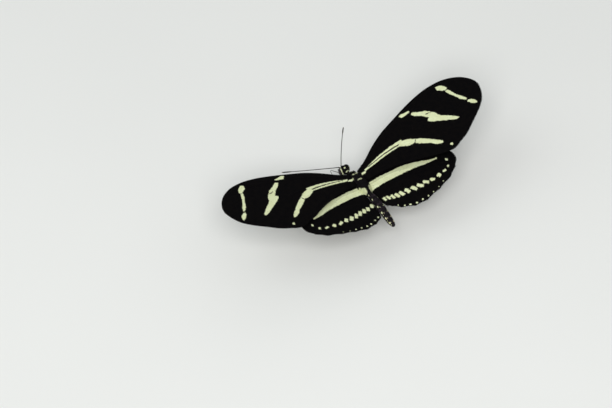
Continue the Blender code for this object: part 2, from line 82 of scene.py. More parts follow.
def makeLights():
    # Three wide soft lamps that face the origin, and a pale even sky.
    for name, lamp in lamps.items():
        data = bpy.data.lights.new(name, "AREA")
        data.size = lamp["size"]
        data.energy = lamp["power"]
        data.color = lamp["tint"]
        light = bpy.data.objects.new(name, data)
        bpy.context.scene.collection.objects.link(light)
        light.location = lamp["place"]
        light.rotation_euler = (-Vector(lamp["place"])).to_track_quat("-Z", "Y").to_euler()
    world = bpy.data.worlds.new("paleSky")
    world.use_nodes = True
    background = world.node_tree.nodes["Background"]
    background.inputs["Color"].default_value = sky["color"]
    background.inputs["Strength"].default_value = sky["strength"]
    bpy.context.scene.world = world


bpy.context.scene.view_settings.view_transform = "Standard"
makeCamera()
makeLights()
print("camera and light made")

# Materials

# cells and scales count per unit of the place they are drawn on; edge is how softly pale turns to dark; cloud
# and dusk are slow noise (scale, low, high); relief is the bump's depth in metres and its strength.
wingScales = {
    "aspect": (1.0, 1.7, 1.0), "cells": 330.0, "jitter": 0.55, "edge": (-0.035, 0.045),
    "tooth": 0.20, "ragged": 0.55, "raggedScale": 88.0,     # unevenness of a mark's edge, by cells and slowly
    "strayAbove": 0.985, "stray": 0.55,                     # a few dark scales among the pale ones
    "cloud": (26.0, 0.35, 0.65), "fleck": 0.22, "fleckTone": 0.72,
    "dusk": (40.0, 0.3, 0.75), "glintAbove": 0.7, "glint": 0.35, "glintTone": 1.9,
    "red": (0.42, 0.02, 0.02), "redEdge": (-0.03, 0.05),
    "darkRoughness": 0.70, "paleRoughness": 0.58, "shine": 0.02, "relief": (0.00003, 0.5),
}
hairScales = {
    "edge": (-0.06, 0.10), "grain": 9000.0, "roughness": 0.62, "shine": 0.05, "relief": (0.00002, 0.4),
}
skinScales = {
    "cells": 7000.0, "jitter": 0.8, "edge": (-0.05, 0.06), "ragged": 0.16,
    "dusk": (900.0, 0.35, 0.7), "glintAbove": 0.6, "glint": 0.5, "glintTone": 1.6,
    "roughness": 0.6, "shine": 0.05, "relief": (0.00003, 0.6),
}
limbScales = {
    "cells": 9000.0, "jitter": 0.9, "dark": (0.008, 0.007, 0.006), "warm": (0.028, 0.020, 0.014),
    "dusk": (1500.0, 0.35, 0.7), "dust": (0.22, 0.18, 0.11), "dustAbove": 0.80, "dustShare": 0.5,
    "roughness": 0.45, "shine": 0.4, "relief": (0.00003, 0.6),
}
horn = {"cloud": (3500.0, 0.35, 0.68), "roughness": 0.32, "shine": 0.5, "relief": (0.00001, 0.5)}
eyeFacets = {
    "cells": 17000.0, "jitter": 0.15, "dark": (0.010, 0.006, 0.007), "red": (0.030, 0.014, 0.016),
    "cloud": (900.0, 0.35, 0.65, 2.0), "seam": (0.004, 0.003, 0.004), "seamFrom": 0.25, "seamTo": 0.6,
    "gloss": 0.15, "glossRoughness": 0.12, "roughness": 0.28, "shine": 0.35, "relief": (0.00002, 0.5),
}


def wire(tree, kind, feeds=None, **settings):
    # One shader node: settings are its properties, feeds are its sockets' values or what drives them.
    made = tree.nodes.new(kind)
    for key, value in settings.items():
        setattr(made, key, value)
    for key, value in (feeds or {}).items():
        if isinstance(value, bpy.types.NodeSocket):
            tree.links.new(value, made.inputs[key])
        else:
            made.inputs[key].default_value = value
    return made


def startMaterial(name, roughness, shine):
    # New material and its node tree.
    material = bpy.data.materials.new(name)
    material.use_nodes = True
    shader = material.node_tree.nodes["Principled BSDF"]
    shader.inputs["Roughness"].default_value = roughness
    shader.inputs["Specular IOR Level"].default_value = shine
    return material, material.node_tree


def finishMaterial(material, color, height, relief):
    # Colour straight into the shader, and the height times the relief's depth into its bump.
    tree = material.node_tree
    shader = tree.nodes["Principled BSDF"]
    bump = wire(tree, "ShaderNodeBump", {"Height": height, "Distance": relief[0], "Strength": relief[1]})
    tree.links.new(color, shader.inputs["Base Color"])
    tree.links.new(bump.outputs["Normal"], shader.inputs["Normal"])
    return material


def tone(color, factor):
    # The same colour, each channel times the factor.
    return tuple(channel * factor for channel in color)


def mixColors(tree, share, first, second):
    # First colour where the share is 0, second where it is 1.
    made = wire(tree, "ShaderNodeMix", data_type="RGBA")
    for key, value in ((0, share), (6, first), (7, second)):
        if isinstance(value, bpy.types.NodeSocket):
            tree.links.new(value, made.inputs[key])
        else:
            made.inputs[key].default_value = value if key == 0 else (*value, 1.0)
    return made.outputs[2]


def sum2(tree, operation, first, second):
    # Two numbers put through one sum.
    return wire(tree, "ShaderNodeMath", {0: first, 1: second}, operation=operation).outputs[0]


def centred(tree, value, width):
    # (value - 0.5) * width, so that it strays as far up as down.
    return sum2(tree, "MULTIPLY", sum2(tree, "SUBTRACT", value, 0.5), width)


def ramp(tree, value, low, high, toLow=0.0, toHigh=1.0):
    # Straight line from toLow at low to toHigh at high, level beyond both.
    feeds = {0: value, 1: low, 2: high, 3: toLow, 4: toHigh}
    return wire(tree, "ShaderNodeMapRange", feeds).outputs[0]


def noiseOn(tree, vector, scale, detail=3.0):
    # Smooth noise between 0 and 1, its lumps one over the scale across.
    feeds = {"Vector": vector, "Scale": scale, "Detail": detail}
    return wire(tree, "ShaderNodeTexNoise", feeds).outputs["Fac"]


def cloudOn(tree, vector, scale, low, high, detail=3.0):
    # The same noise, stretched so that low becomes 0 and high becomes 1.
    return ramp(tree, noiseOn(tree, vector, scale, detail), low, high)


def cellsOn(tree, vector, scale, jitter):
    # One cell for each scale: three random numbers of its own, and the distance to its middle.
    cells = wire(tree, "ShaderNodeTexVoronoi", {"Vector": vector, "Scale": scale, "Randomness": jitter})
    speck = wire(tree, "ShaderNodeSeparateColor", {0: cells.outputs["Color"]})
    return speck.outputs, cells.outputs["Distance"]


def objectPlace(tree):
    # Place on the part itself, in metres.
    return wire(tree, "ShaderNodeTexCoord").outputs["Object"]


def field(tree, name):
    # Number kept on the mesh's own points.
    return wire(tree, "ShaderNodeAttribute", attribute_name=name).outputs["Fac"]


def darkScales(tree, look, here, speck, dark, darkWarm):
    # The two dark colours mixed by slow noise, with a lighter glint on a few of the cells.
    mixed = mixColors(tree, cloudOn(tree, here, *look["dusk"]), dark, darkWarm)
    glint = ramp(tree, speck[2], look["glintAbove"], 1.0, 0.0, look["glint"])
    return mixColors(tree, glint, mixed, tone(darkWarm, look["glintTone"]))


def wingMaterial(name, pale, paleDeep, dark, darkWarm, under=False):
    # Rows of tiny overlapping scales drawn on the wing's own flat plan, coloured by the pattern's fields.
    look = wingScales
    material, tree = startMaterial(name, look["darkRoughness"], look["shine"])
    plan = wire(tree, "ShaderNodeUVMap", uv_map="OFBake").outputs[0]
    stretched = wire(tree, "ShaderNodeVectorMath", {0: plan, 1: look["aspect"]}, operation="MULTIPLY")
    speck, middle = cellsOn(tree, stretched.outputs[0], look["cells"], look["jitter"])
    toothed = centred(tree, speck[0], look["tooth"])
    ragged = centred(tree, noiseOn(tree, plan, look["raggedScale"]), look["ragged"])
    edge = sum2(tree, "ADD", sum2(tree, "ADD", field(tree, "paleField"), toothed), ragged)
    stray = sum2(tree, "MULTIPLY", sum2(tree, "GREATER_THAN", speck[1], look["strayAbove"]), look["stray"])
    mask = sum2(tree, "MULTIPLY", ramp(tree, edge, *look["edge"]), sum2(tree, "SUBTRACT", 1.0, stray))
    cloudy = mixColors(tree, cloudOn(tree, plan, *look["cloud"]), pale, paleDeep)
    fleck = ramp(tree, speck[2], 0.0, 1.0, 0.0, look["fleck"])
    paleMix = mixColors(tree, fleck, cloudy, tone(pale, look["fleckTone"]))
    color = mixColors(tree, mask, darkScales(tree, look, plan, speck, dark, darkWarm), paleMix)
    if under:
        red = ramp(tree, sum2(tree, "ADD", field(tree, "redField"), toothed), *look["redEdge"])
        color = mixColors(tree, red, color, look["red"])
    rough = ramp(tree, mask, 0.0, 1.0, look["darkRoughness"], look["paleRoughness"])
    tree.links.new(rough, tree.nodes["Principled BSDF"].inputs["Roughness"])
    return finishMaterial(material, color, middle, look["relief"])


def coatMaterial(name, pale, paleDeep, dark, darkWarm, roughness=hairScales["roughness"]):
    # Hair scales: the blade's own field says how pale it is, and its shade how light within its colour.
    look = hairScales
    material, tree = startMaterial(name, roughness, look["shine"])
    shade = field(tree, "shade")
    darkMix, paleMix = mixColors(tree, shade, dark, darkWarm), mixColors(tree, shade, paleDeep, pale)
    color = mixColors(tree, ramp(tree, field(tree, "paleField"), *look["edge"]), darkMix, paleMix)
    grain = noiseOn(tree, objectPlace(tree), look["grain"], 2.0)
    return finishMaterial(material, color, grain, look["relief"])


def skinMaterial(name, pale, paleDeep, dark, darkWarm):
    # Flat scales on the skin: small cells with their own lightness, marked by the same field as the coat.
    look = skinScales
    material, tree = startMaterial(name, look["roughness"], look["shine"])
    here = objectPlace(tree)
    speck, middle = cellsOn(tree, here, look["cells"], look["jitter"])
    ragged = centred(tree, speck[0], look["ragged"])
    mask = ramp(tree, sum2(tree, "ADD", field(tree, "paleField"), ragged), *look["edge"])
    darkMix = darkScales(tree, look, here, speck, dark, darkWarm)
    color = mixColors(tree, mask, darkMix, mixColors(tree, speck[1], paleDeep, pale))
    return finishMaterial(material, color, middle, look["relief"])


def limbMaterial(name):
    # Dark flat scales with a paler dusting, over a slightly glossy horn.
    look = limbScales
    material, tree = startMaterial(name, look["roughness"], look["shine"])
    here = objectPlace(tree)
    speck, middle = cellsOn(tree, here, look["cells"], look["jitter"])
    base = mixColors(tree, cloudOn(tree, here, *look["dusk"]), look["dark"], look["warm"])
    dust = ramp(tree, speck[1], look["dustAbove"], 1.0, 0.0, look["dustShare"])
    return finishMaterial(material, mixColors(tree, dust, base, look["dust"]), middle, look["relief"])


def hornMaterial(name, dark, light):
    # Smooth brown horn, its two colours mixed by fine noise.
    material, tree = startMaterial(name, horn["roughness"], horn["shine"])
    grain = cloudOn(tree, objectPlace(tree), *horn["cloud"])
    return finishMaterial(material, mixColors(tree, grain, dark, light), grain, horn["relief"])


def eyeMaterial(name):
    # Glossy dark eye of many small lenses, drawn as close cells, a little redder where noise is high.
    look = eyeFacets
    material, tree = startMaterial(name, look["roughness"], look["shine"])
    here = objectPlace(tree)
    middle = cellsOn(tree, here, look["cells"], look["jitter"])[1]
    base = mixColors(tree, cloudOn(tree, here, *look["cloud"]), look["dark"], look["red"])
    color = mixColors(tree, ramp(tree, middle, look["seamFrom"], look["seamTo"]), base, look["seam"])
    shader = tree.nodes["Principled BSDF"]
    shader.inputs["Coat Weight"].default_value = look["gloss"]
    shader.inputs["Coat Roughness"].default_value = look["glossRoughness"]
    return finishMaterial(material, color, sum2(tree, "SUBTRACT", 1.0, middle), look["relief"])


# Four colours of each scaly finish: pale, deeper pale, dark and warm dark.
wingUpperColors = ((0.74, 0.80, 0.52), (0.68, 0.72, 0.43), (0.0018, 0.0017, 0.0022), (0.0036, 0.0030, 0.0030))
wingUnderColors = ((0.66, 0.64, 0.46), (0.58, 0.54, 0.34), (0.016, 0.011, 0.008), (0.026, 0.018, 0.012))
bodyHairColors = ((0.76, 0.82, 0.55), (0.61, 0.63, 0.36), (0.0022, 0.0020, 0.0026), (0.0085, 0.0070, 0.0080))
bodySkinColors = ((0.74, 0.79, 0.51), (0.61, 0.63, 0.36), (0.003, 0.0026, 0.0034), (0.010, 0.008, 0.010))
abdomenColors = ((0.82, 0.78, 0.54), (0.72, 0.52, 0.30), (0.006, 0.005, 0.008), (0.16, 0.11, 0.15))
feelerColors = ((0.45, 0.30, 0.12), (0.40, 0.26, 0.10), (0.010, 0.009, 0.009), (0.030, 0.026, 0.022))
paints = {
    "wingUpper": wingMaterial("wingUpperScales", *wingUpperColors),
    "wingUnder": wingMaterial("wingUnderScales", *wingUnderColors, under=True),
    "fringe": coatMaterial("fringeScales", *wingUpperColors),
    "coat": coatMaterial("bodyHairScales", *bodyHairColors),
    "bodySkin": skinMaterial("bodySkinScales", *bodySkinColors),
    "abdomenCoat": coatMaterial("abdomenScales", *abdomenColors),
    "feeler": coatMaterial("feelerScales", *feelerColors, roughness=0.45),
    "limb": limbMaterial("limbScales"),
    "tongue": hornMaterial("tongueHorn", (0.020, 0.012, 0.008), (0.07, 0.045, 0.025)),
    "eye": eyeMaterial("eyeFacets"),
}
print("materials made")

# Small tools for shapes

farOff = 0.8            # millimetres from a mark at which its field is cut
bladeCorners = 7        # points of one blade of hair
bladePatchHalf = 0.0015     # half size of a blade's patch in the unwrap
dice = np.random.default_rng(7)     # every random draw comes from here, in the same order each run


def smoothRows(keys, rows, t):
    # Cubic Hermite curve through a table's rows, each with the slope between its two neighbours.
    keys, rows = np.asarray(keys, float), np.asarray(rows, float)
    order = np.arange(len(keys))
    low, high = np.maximum(order - 1, 0), np.minimum(order + 1, len(keys) - 1)
    slopes = (rows[high] - rows[low]) / (keys[high] - keys[low])[:, None]
    t = np.clip(t, keys[0], keys[-1])
    i = np.clip(np.searchsorted(keys, t, side="right") - 1, 0, len(keys) - 2)
    width = (keys[i + 1] - keys[i])[..., None]
    s = (t - keys[i])[..., None] / width
    start, end = rows[i], rows[i + 1]
    bend = (s**3 - 2 * s**2 + s) * width * slopes[i] + (s**3 - s**2) * width * slopes[i + 1]
    return start + (3 * s**2 - 2 * s**3) * (end - start) + bend


def curveThrough(points, step, closed=False):
    # Catmull-Rom curve: each span is a cubic whose end slopes run between the neighbouring landmarks.
    marks = np.asarray(points, float)
    count = len(marks)
    out = [] if closed else [marks[:1]]
    for i in range(count if closed else count - 1):
        pick = [(i - 1) % count, i, (i + 1) % count, (i + 2) % count]
        if not closed:
            pick = [max(i - 1, 0), i, i + 1, min(i + 2, count - 1)]
        p0, p1, p2, p3 = marks[pick]
        number = max(1, round(float(np.linalg.norm(p2 - p1)) / step))
        s = (np.arange(1, number + 1) / number)[:, None]
        out.append(0.5 * (2 * p1 + (p2 - p0) * s + (2 * p0 - 5 * p1 + 4 * p2 - p3) * s**2
                          + (3 * p1 - p0 - 3 * p2 + p3) * s**3))
    return np.vstack(out)


def evenly(line, number):
    # The same line with a given number of points at equal steps along its length.
    steps = np.linalg.norm(np.diff(line, axis=0), axis=1)
    length = np.concatenate(([0.0], np.cumsum(steps)))
    where = np.linspace(0.0, length[-1], number)
    return np.stack([np.interp(where, length, line[:, k]) for k in range(line.shape[1])], axis=1)


def normalise(vectors):
    # Each vector divided by its own length.
    return vectors / np.maximum(np.linalg.norm(vectors, axis=-1, keepdims=True), 1e-9)


def lineDistance(points, line):
    # Shortest distance from each point to an open line, one segment after another.
    nearest = np.full(len(points), 1e9)
    for start, end in zip(line[:-1], line[1:]):
        along = end - start
        share = np.clip((points - start) @ along / max(along @ along, 1e-9), 0.0, 1.0)
        nearest = np.minimum(nearest, np.linalg.norm(points - start - share[:, None] * along, axis=1))
    return nearest


def insideRing(points, ring):
    # Even-odd test: a point is inside if a line from it crosses the ring an odd number of times.
    hit = np.zeros(len(points), bool)
    for start, end in zip(ring, np.roll(ring, -1, axis=0)):
        spans = (start[1] > points[:, 1]) != (end[1] > points[:, 1])
        slope = (end[0] - start[0]) / (end[1] - start[1] if end[1] != start[1] else 1e-9)
        hit ^= spans & (points[:, 0] < start[0] + slope * (points[:, 1] - start[1]))
    return hit


def hump(value, middle, width):
    # Bell curve: one at its middle, and one over e a width away.
    return np.exp(-((value - middle) / width) ** 2)


def rise(value, start, width):
    # Straight ramp from 0 at the start to 1 a width further on, level beyond both.
    return np.clip((value - start) / width, 0.0, 1.0)


def ringField(points, ring):
    # Signed distance to a closed ring, positive inside, worked out only near it.
    out = np.full(len(points), -farOff)
    near = np.all((points > ring.min(axis=0) - farOff) & (points < ring.max(axis=0) + farOff), axis=1)
    close = points[near]
    if len(close):
        distance = lineDistance(close, np.vstack((ring, ring[:1])))
        out[near] = np.where(insideRing(close, ring), distance, -np.minimum(distance, farOff))
    return out


def diskField(points, disk):
    # Radius minus the distance to the disk's middle.
    return np.maximum(disk[2] - np.linalg.norm(points - disk[:2], axis=1), -farOff)


def boxField(points, spot):
    # Rounded box turned by its own angle: positive inside, by the distance to its rounded edge.
    turn = math.radians(spot[4])
    along = np.array((math.cos(turn), math.sin(turn)))
    across = np.array((-along[1], along[0]))
    offset = points - spot[:2]
    rounding = 0.55 * min(spot[2], spot[3])
    beyondSide = np.abs(offset @ across) - (spot[2] - rounding)
    beyondEnd = np.abs(offset @ along) - (spot[3] - rounding)
    outside = np.hypot(np.maximum(beyondSide, 0.0), np.maximum(beyondEnd, 0.0))
    outside += np.minimum(np.maximum(beyondSide, beyondEnd), 0.0)
    return np.maximum(rounding - outside, -farOff)


def addPiece(name, points, faces, materials, nodes=(), faceMaterial=None, uv=None, fields=None,
             smooth=True):
    # One mesh from arrays: points in body millimetres, faces as arrays of triangles or quads, turned outwards
    # by the sign of their volume, the sum of a . (b x c) over their triangles.
    points = np.asarray(points, float)
    volume = 0.0
    for group in faces:
        a, b, c = points[group[:, 0]], points[group[:, 1]], points[group[:, 2]]
        volume += np.einsum("ij,ij->", a, np.cross(b, c))
        if group.shape[1] == 4:
            volume += np.einsum("ij,ij->", a, np.cross(c, points[group[:, 3]]))
    flip = volume < 0
    groups = [group[:, ::-1] if flip else group for group in faces]
    corners = np.concatenate([group.ravel() for group in groups]).astype(np.int32)
    counts = np.concatenate([np.full(len(group), group.shape[1]) for group in groups])
    mesh = bpy.data.meshes.new(name)
    mesh.vertices.add(len(points))
    mesh.vertices.foreach_set("co", ((points + bodyOrigin) * mm).astype(np.float32).ravel())
    mesh.loops.add(len(corners))
    mesh.loops.foreach_set("vertex_index", corners)
    mesh.polygons.add(len(counts))
    mesh.polygons.foreach_set("loop_start", np.concatenate(([0], np.cumsum(counts)[:-1])).astype(np.int32))
    mesh.polygons.foreach_set("use_smooth", np.full(len(counts), smooth))
    for material in materials:
        mesh.materials.append(material)
    if faceMaterial is not None:
        mesh.polygons.foreach_set("material_index", faceMaterial.astype(np.int32))
    for key, values in (fields or {}).items():
        mesh.attributes.new(key, "FLOAT", "POINT").data.foreach_set("value", np.asarray(values, np.float32))
    if uv is not None:
        layer = mesh.uv_layers.new(name="OFBake")
        layer.data.foreach_set("uv", uv[corners].astype(np.float32).ravel())
    mesh.update(calc_edges=True)
    piece = bpy.data.objects.new(name, mesh)
    bpy.context.scene.collection.objects.link(piece)
    if nodes:
        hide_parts(*nodes)
    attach(piece, "root")
    return piece


def closeTube(rings):
    # Rings of equal count: quads between them, and a fan to the middle of each end ring.
    rows, around = rings.shape[:2]
    index = np.arange(rows * around).reshape(rows, around)
    beside = np.roll(index, -1, axis=1)
    quads = np.stack((index[:-1], beside[:-1], beside[1:], index[1:]), axis=-1).reshape(-1, 4)
    first = np.stack((beside[0], index[0], np.full(around, rows * around)), axis=-1)
    last = np.stack((index[-1], beside[-1], np.full(around, rows * around + 1)), axis=-1)
    points = np.vstack((rings.reshape(-1, 3), rings[[0, -1]].mean(axis=1)))
    return points, [quads, np.vstack((first, last))]


def tubeRings(path, radii, around, upward=(0.0, 0.0, 1.0)):
    # Circle carried along a path, square to it: centre + radius * (cos a * side + sin a * up).
    path = np.asarray(path, float)
    tangent = normalise(np.gradient(path, axis=0))
    side = normalise(np.cross(tangent, np.asarray(upward, float)))
    lift = np.cross(side, tangent)
    angle = np.linspace(0.0, 2 * math.pi, around, endpoint=False)[None, :, None]
    ring = np.cos(angle) * side[:, None, :] + np.sin(angle) * lift[:, None, :]
    return path[:, None, :] + radii[:, None, None] * ring


def roundTip(radii, rows, last):
    # The last rows of a tube drawn in by the square root of a straight line from one to the last share.
    radii[-rows:] *= np.sqrt(np.linspace(1.0, last, rows))


def joinParts(parts):
    # Several (points, faces) put into one pair, with the faces' numbers moved on.
    points, faces, start = [], [], 0
    for some, groups in parts:
        points.append(some)
        faces += [group + start for group in groups]
        start += len(some)
    return np.vstack(points), faces


def makeBlades(roots, lie, normal, length, width, lift, droop, swing=0.0):
    # Three-sided tapered blades: centre = root + (lie * t + normal * (lift * t - droop * t * t)
    # + side * swing * t * t) * length, with three corners round it at t = 0 and 0.5 and one point at t = 1.
    number = len(roots)
    width = np.broadcast_to(np.asarray(width, float), number)
    side = normalise(np.cross(lie, normal))
    rows = []
    for t, wide in ((0.0, 0.75), (0.5, 1.0), (1.0, 0.0)):
        middle = roots + lie * (length * t)[:, None] + normal * ((lift * t - droop * t * t) * length)[:, None]
        middle = middle + side * (swing * length * t * t)[:, None]
        half = (width * wide)[:, None]
        corners = [middle - side * half, middle + side * half, middle + normal * half * 0.45]
        rows += corners if wide else [middle]
    points = np.stack(rows, axis=1).reshape(-1, 3)
    base = (np.arange(number) * bladeCorners)[:, None]
    quads = np.vstack([base + np.array(corner) for corner in ((0, 1, 4, 3), (1, 2, 5, 4), (2, 0, 3, 5))])
    tris = np.vstack([base + np.array(corner) for corner in ((0, 2, 1), (3, 4, 6), (4, 5, 6), (5, 3, 6))])
    return points, [quads, tris]


def addHair(name, blades, rootUv, pale, material, contrast=1.0):
    # A coat of blades as one mesh: each has one field, one shade (a random number to the power of the
    # contrast) and one small patch of the unwrap at its root's place.
    points, faces = blades
    number = len(rootUv)
    corner = np.array(((-1, -1), (1, -1), (0, -1), (-1, 0), (1, 0), (0, 0), (0, 1))) * bladePatchHalf
    uv = (rootUv[:, None, :] + corner[None, :, :]).reshape(number * bladeCorners, 2)
    shade = dice.uniform(0.0, 1.0, number) ** contrast
    addPiece(name, points, faces, [material], uv=uv,
             fields={"paleField": np.repeat(pale, bladeCorners), "shade": np.repeat(shade, bladeCorners)},
             smooth=False)


# Wings

wing = {
    "lift": {"forewing": {"left": 14.0, "right": 16.0}, "hindwing": {"left": 13.2, "right": 10.5}},
    "turn": {"forewing": {"left": 0.0, "right": 0.0}, "hindwing": {"left": -1.0, "right": 1.0}},
    "stretch": {"forewing": {"left": 1.0, "right": 1.0}, "hindwing": {"left": 1.0, "right": 1.025}},
    "pivot": {"forewing": (2.0, 2.5), "hindwing": (2.0, -2.0)},
    "drop": {"forewing": 0.0, "hindwing": 1.12},
    "camberForeAft": {
        "forewing": {"left": 0.0022, "right": 0.0022}, "hindwing": {"left": -0.0010, "right": 0.0055},
    },
    "camberSpan": 0.0006,
    "membrane": 0.13,       # thickness away from the edge
    "edge": 0.05,           # thickness at the edge
    "rootThick": 0.26,      # added thickness at the root
    "rootFade": 1.6,        # how fast that dies away outwards
    "rimFade": 0.5,         # width of the thin border, where veins and pleats die away
    "veinHeight": 0.10,
    "veinUpper": 0.6,       # share of that height on the upper face
    "veinHalfWidth": 0.26,
    "veinTaper": 0.55,
    "pleat": 0.05,          # depth of the membrane's fold between its veins
    "pleatReach": 0.7,
    "reach": {"forewing": 45.0, "hindwing": 27.0},
    "grid": {"forewing": (300, 136), "hindwing": (200, 150)},
    "rootFront": {"forewing": (1.3, 4.2), "hindwing": (1.6, 0.4)},
    "rootRear": {"forewing": (1.5, -0.1), "hindwing": (1.2, -3.3)},
    "corners": {"forewing": (9, 18), "hindwing": (7, 14)},      # landmarks where its free sides meet
    "dip": 0.3, "dipMiddle": (12.0, -6.0), "dipBelow": -9.9, "dipBeyond": 2.6,  # its scallops
    "unwrapShift": (0.0, 18.0), "unwrapSize": 50.0,
}
forewingEdge = (
    (4.8, 5.6), (9.3, 8.1), (13.6, 9.95), (18.2, 11.2), (24.5, 12.7), (29.0, 13.4), (33.0, 13.5),
    (37.3, 12.7), (40.8, 10.9), (43.2, 8.5), (44.6, 5.5), (44.0, 2.3), (42.5, -0.4), (39.9, -2.65),
    (36.3, -4.85), (32.9, -6.85), (30.1, -7.8), (26.6, -8.6), (21.5, -6.6), (15.0, -3.6), (8.0, -1.0),
)
hindwingFront = (
    (3.4, 1.9), (6.6, 2.4), (10.2, 2.0), (14.0, 0.6), (19.0, -1.4), (24.3, -4.9), (26.1, -7.3),
    (25.8, -9.9), (24.3, -11.6), (21.4, -13.4), (17.0, -14.6),
)
wingEdge = {
    "forewing": {"left": forewingEdge, "right": forewingEdge},
    "hindwing": {
        "left": (*hindwingFront, (12.8, -15.45), (9.0, -15.9), (5.3, -15.05), (2.7, -13.5), (1.75, -10.8)),
        "right": (*hindwingFront, (12.2, -15.3), (8.6, -14.75), (5.2, -12.8), (3.1, -10.7), (1.85, -8.5)),
    },
}
forewingVeins = (
    ((2.0, 3.9), (10.0, 7.4), (18.0, 10.3), (24.5, 12.0)),
    ((2.0, 3.3), (10.0, 6.6), (16.5, 8.6), (20.8, 9.1), (30.5, 12.9)),
    ((20.8, 9.1), (28.0, 10.8), (35.0, 12.5)),
    ((28.0, 10.8), (35.0, 11.0), (39.4, 11.0)),
    ((28.0, 10.8), (36.0, 9.3), (42.3, 8.6)),
    ((33.5, 9.8), (38.5, 7.4), (43.8, 5.2)),
    ((20.8, 9.1), (22.4, 7.6), (22.2, 5.7), (20.8, 3.6)),
    ((22.4, 7.6), (32.0, 5.8), (43.4, 2.3)),
    ((22.2, 5.7), (31.0, 3.0), (41.6, -1.3)),
    ((2.0, 2.3), (7.0, 3.05), (12.0, 3.15), (15.6, 3.1), (20.8, 3.6), (29.5, 1.0), (38.4, -3.6)),
    ((18.2, 3.3), (25.5, -0.2), (34.4, -6.0)),
    ((13.2, 3.1), (19.5, 0.1), (25.5, -4.3), (29.8, -7.5)),
    ((2.0, 1.7), (9.0, 0.6), (17.0, -2.9), (26.2, -8.0)),
)
hindwingVeins = (
    ((1.8, -0.8), (8.0, 0.4), (16.0, -0.9), (22.5, -4.4), (25.4, -7.2)),
    ((1.8, -1.4), (8.5, -2.0), (14.0, -4.2), (20.5, -7.2), (25.2, -9.7)),
    ((14.0, -4.2), (17.2, -7.9), (19.4, -10.8), (21.2, -13.0)),
    ((14.0, -4.2), (13.9, -5.6), (15.0, -10.7), (16.7, -14.4)),
    ((13.9, -5.6), (11.6, -6.6), (11.0, -10.3), (12.2, -14.8)),
    ((1.8, -2.0), (7.0, -3.9), (11.6, -6.6)),
)
wingVeins = {
    "forewing": {"left": forewingVeins, "right": forewingVeins},
    "hindwing": {
        "left": (
            *hindwingVeins, ((9.8, -5.5), (8.4, -10.0), (8.5, -15.4)),
            ((7.0, -3.9), (5.2, -9.5), (5.1, -14.5)), ((2.2, -2.7), (3.2, -6.0), (3.0, -9.5), (2.9, -12.9)),
        ),
        "right": (
            *hindwingVeins, ((9.8, -5.5), (8.1, -9.7), (8.3, -14.3)),
            ((7.0, -3.9), (5.1, -8.4), (5.1, -12.3)), ((2.2, -2.7), (3.2, -6.0), (3.1, -8.2), (3.0, -10.1)),
        ),
    },
}
# Pale bands of the forewing, as closed rings (out, forward) on its flat plan.
forewingBands = (
    ((34.2, 12.05), (35.1, 11.85), (35.95, 11.1), (36.45, 10.3), (36.6, 9.65), (36.2, 9.3), (35.5, 9.5),
     (34.6, 10.15), (34.0, 10.9), (33.85, 11.5)),
    ((36.45, 8.95), (37.1, 7.4), (37.45, 6.4), (38.0, 5.4), (38.6, 4.4), (39.25, 3.2), (39.3, 2.6),
     (38.9, 2.6), (38.4, 3.15), (37.8, 3.9), (37.4, 4.7), (37.0, 5.8), (36.1, 7.45), (35.75, 8.4),
     (35.75, 9.05)),
    ((38.98, 2.08), (39.5, 2.04), (40.1, 1.8), (40.65, 1.35), (41.1, 0.6), (41.2, -0.1), (41.05, -0.5),
     (40.6, -0.25), (40.0, 0.25), (39.5, 0.85), (39.15, 1.5)),
    ((20.45, 11.1), (21.4, 11.2), (22.2, 10.95), (23.1, 10.75), (23.8, 10.5), (23.6, 10.15),
     (22.4, 10.0), (21.3, 9.95), (20.8, 10.3), (20.45, 10.7)),
    ((23.6, 9.1), (23.9, 9.42), (24.4, 9.42), (25.5, 8.6), (26.6, 7.85), (27.7, 7.15), (28.6, 6.05),
     (29.4, 5.1), (29.95, 3.6), (30.35, 3.0), (32.0, 1.6), (33.5, 0.05), (34.1, -0.6), (34.1, -1.05),
     (33.1, -0.95), (30.8, 0.55), (28.2, 2.35), (27.2, 3.1), (26.55, 3.8), (26.5, 4.3), (27.15, 4.85),
     (26.3, 5.85), (25.8, 6.65), (24.6, 7.6), (23.8, 8.5)),
    ((1.55, 2.2), (2.0, 2.5), (2.8, 2.52), (3.3, 2.3), (3.2, 1.95), (2.5, 1.8), (1.8, 1.88)),
    ((3.1, 2.95), (3.9, 3.08), (5.2, 3.38), (6.8, 3.76), (8.4, 4.0), (10.1, 4.15), (12.0, 4.28),
     (14.0, 4.27), (16.2, 4.2), (16.8, 3.9), (16.5, 3.2), (15.1, 2.5), (12.5, 2.68), (9.3, 2.63),
     (5.8, 2.48), (4.3, 2.4), (3.4, 2.42)),
    ((15.9, 4.1), (16.75, 3.95), (16.85, 3.45), (18.5, 2.85), (19.4, 2.2), (20.0, 1.6), (21.6, 0.5),
     (23.6, -1.4), (25.4, -3.3), (26.3, -4.4), (26.2, -4.85), (25.5, -4.75), (24.0, -3.75), (23.3, -2.8),
     (22.4, -2.15), (20.7, -0.75), (19.9, -0.1), (19.4, 0.5), (18.3, 0.65), (17.1, 1.15), (15.2, 2.55),
     (15.2, 3.5)),
)
forewingCorner = (27.85, -6.9, 0.42)        # round dot: place out and forward, and radius
forewingStem = ((4.7, 2.95), (5.8, 3.12), (7.2, 3.2), (8.8, 3.33), (10.6, 3.37), (13.0, 3.28), (15.2, 3.1))
forewingCuts = (((19.2, -0.1), (19.9, 0.9), (20.6, 1.9)), ((29.5, 5.6), (27.8, 6.17), (27.0, 6.38)))
